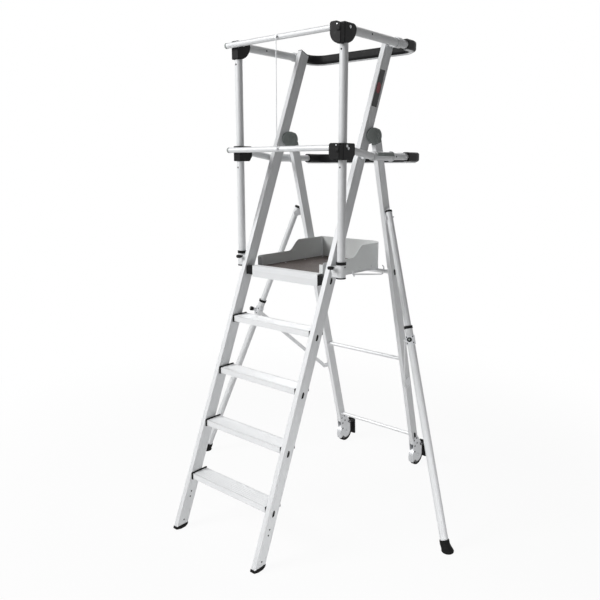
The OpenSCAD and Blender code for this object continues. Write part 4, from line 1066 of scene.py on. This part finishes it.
# Collars, knob lobes and clamp bolts on the outrigger legs
legTrim = {"collarAt": 0.5665, "collar": ((17, -16), (20.6, -16), (21.4, -15), (21.4, -3), (20.4, -2), (17, -2)),
           "lobes": {"Count": 10, "Radius": 0.0105, "Block": (0.0035, 0.0045, 0.014)}, "lobesOut": 0.05,
           "faceOut": 0.0578, "barrel": (0.0125, 0.03), "boltTurn": 0.85, "boltAlong": 0.0145, "boltSink": 0.0004,
           "faceHead": (4.6, 1.8, 24, 6.2), "boltHead": (2.8, 2.0, 6, 3.6)}


def makeLegTrim(side, tag, size):
    pivot, down = legLine(side)
    knobWay, knob, node = mirrored(outrigger["knobWay"], side), "pull_knob_" + tag, "leg_clamp_" + tag
    clamp = pivot + down * (outrigger["clampAt"] / 1000)
    ring = ringSolid("collar", size["collar"], pivot + down * size["collarAt"], down)
    keep("legCollar_" + tag, ring, "leg_" + tag, "blackPlastic")
    ringTree.grow("knobLobes_" + tag, bpy.data.meshes.new("knobLobes_" + tag), knob, "blackPlastic",
                  Place=tuple(clamp + knobWay * size["lobesOut"]),
                  Turn=tuple(knobWay.to_track_quat("Z", "Y").to_euler()), **size["lobes"])
    heads("knobFace_" + tag, knob, "hingePlastic", [(clamp + knobWay * size["faceOut"], knobWay)],
          *size["faceHead"])
    near, far = size["barrel"]  # the stretch of the clamp where only its round barrel is
    block = [vertex.co - clamp for vertex in cadNodes[node].data.vertices]
    face = max((point - down * point.dot(down)).length for point in block if near < abs(point.dot(down)) < far)
    across = knobWay.cross(down).normalized()
    bolts = []
    for turn in (-size["boltTurn"], size["boltTurn"]):
        way = (knobWay + across * turn).normalized()
        seat = clamp + way * (face - size["boltSink"])
        bolts += [(seat + down * step, way) for step in (-size["boltAlong"], size["boltAlong"])]
    # the bolts are real, and their black heads also paint the shadows that fall at the clamp's bolts
    heads("clampBolts_" + tag, bodyOf[node], "blackPlastic", bolts, *size["boltHead"])


makeRearTrim(rearTrim)
slimForks(forkPlate)
for side, tag in bothSides:
    makeLegTrim(side, tag, legTrim)
print("rear frame ready")

# Camera, floor and light
photoCamera = {"place": (2.0328, -2.4981, 1.7538), "tip": 78.1631, "turn": 40.4302, "lens": 37.935, "sensor": 36}


def makeCamera(settings):
    data = bpy.data.cameras.new("photoCamera")
    data.lens = settings["lens"]
    data.sensor_width = settings["sensor"]
    camera = placed("photoCamera", data)
    camera.location = settings["place"]
    camera.rotation_euler = (math.radians(settings["tip"]), 0, math.radians(settings["turn"]))
    bpy.context.scene.camera = camera


def backgroundRays(tree):
    # 1 for what the camera sees directly, in gloss or through glass
    path = tree.nodes.new("ShaderNodeLightPath")
    total = path.outputs["Is Camera Ray"]
    for label in ("Is Glossy Ray", "Is Transmission Ray"):
        most = tree.nodes.new("ShaderNodeMath")
        most.operation = "MAXIMUM"
        tree.links.new(total, most.inputs[0])
        tree.links.new(path.outputs[label], most.inputs[1])
        total = most.outputs[0]
    return total


# the floor shows share of the white background near the part, and all of it past far
studioFloor = {"size": 14, "share": 0.94, "near": 1.2, "far": 3.2, "dark": rgb(0.82, 0.82, 0.82),
               "light": rgb(0.85, 0.85, 0.85)}


def makeFloor(settings):
    finish = Finish("paleFloor")
    patch = finish.noise((0.8, 0.8, 0.8), detail=3)
    paint = finish.done(Base_Color=finish.mix(patch, settings["dark"], settings["light"]), Roughness=0.9,
                        Specular_IOR_Level=0.0)
    reach = finish.node("ShaderNodeVectorMath", {0: finish.spot()}, "Value", operation="LENGTH")
    fade = finish.ramp(reach, settings["near"], settings["far"], settings["share"])
    white = Val(finish, backgroundRays(finish.tree)) * fade
    blend = finish.node("ShaderNodeMixShader", {0: white, 1: Val(finish, finish.shader.outputs[0]),
                                                2: finish.node("ShaderNodeEmission")})
    finish.put(finish.tree.nodes["Material Output"].inputs["Surface"], blend)
    mesh = bpy.data.meshes.new("floor")
    size = settings["size"]
    mesh.from_pydata([(-size, -size, 0), (size, -size, 0), (size, size, 0), (-size, size, 0)], [], [(0, 1, 2, 3)])
    mesh.materials.append(paint)
    floor = placed("floor", mesh)


studioLamps = {
    "keyLamp": {"place": (-2.4, -4.6, 4.2), "aim": (0, 0, 1.1), "width": 2.5, "power": 275, "spread": 180},
    "lowLamp": {"place": (2.0, -1.4, 0.3), "aim": (0.25, -0.2, 0.1), "width": 1.0, "power": 6.5, "spread": 85},
    "backLamp": {"place": (-1.5, 4.2, 4.0), "aim": (0, 0, 1.2), "width": 3.0, "power": 50, "spread": 180},
}


def makeLamp(name, settings):
    data = bpy.data.lights.new(name, "AREA")
    data.size = settings["width"]
    data.energy = settings["power"]
    data.spread = math.radians(settings["spread"])
    lamp = placed(name, data)
    lamp.location = settings["place"]
    way = Vector(settings["aim"]) - Vector(settings["place"])
    lamp.rotation_euler = way.to_track_quat("-Z", "Y").to_euler()


ambientLight = 0.1  # strength of the even light, apart from the white that the camera sees


def makeWorld(ambient):
    world = bpy.data.worlds.new("studio")
    world.use_nodes = True
    bpy.context.scene.world = world
    tree = world.node_tree
    back = tree.nodes["Background"]
    back.inputs["Color"].default_value = rgb(1, 1, 1)
    level = tree.nodes.new("ShaderNodeMapRange")
    tree.links.new(backgroundRays(tree), level.inputs["Value"])
    level.inputs["To Min"].default_value = ambient
    level.inputs["To Max"].default_value = 1.0
    tree.links.new(level.outputs[0], back.inputs["Strength"])


makeCamera(photoCamera)
makeFloor(studioFloor)
for name, settings in studioLamps.items():
    makeLamp(name, settings)
makeWorld(ambientLight)
bpy.context.scene.view_settings.view_transform = "Standard"
print("camera, floor and light ready")
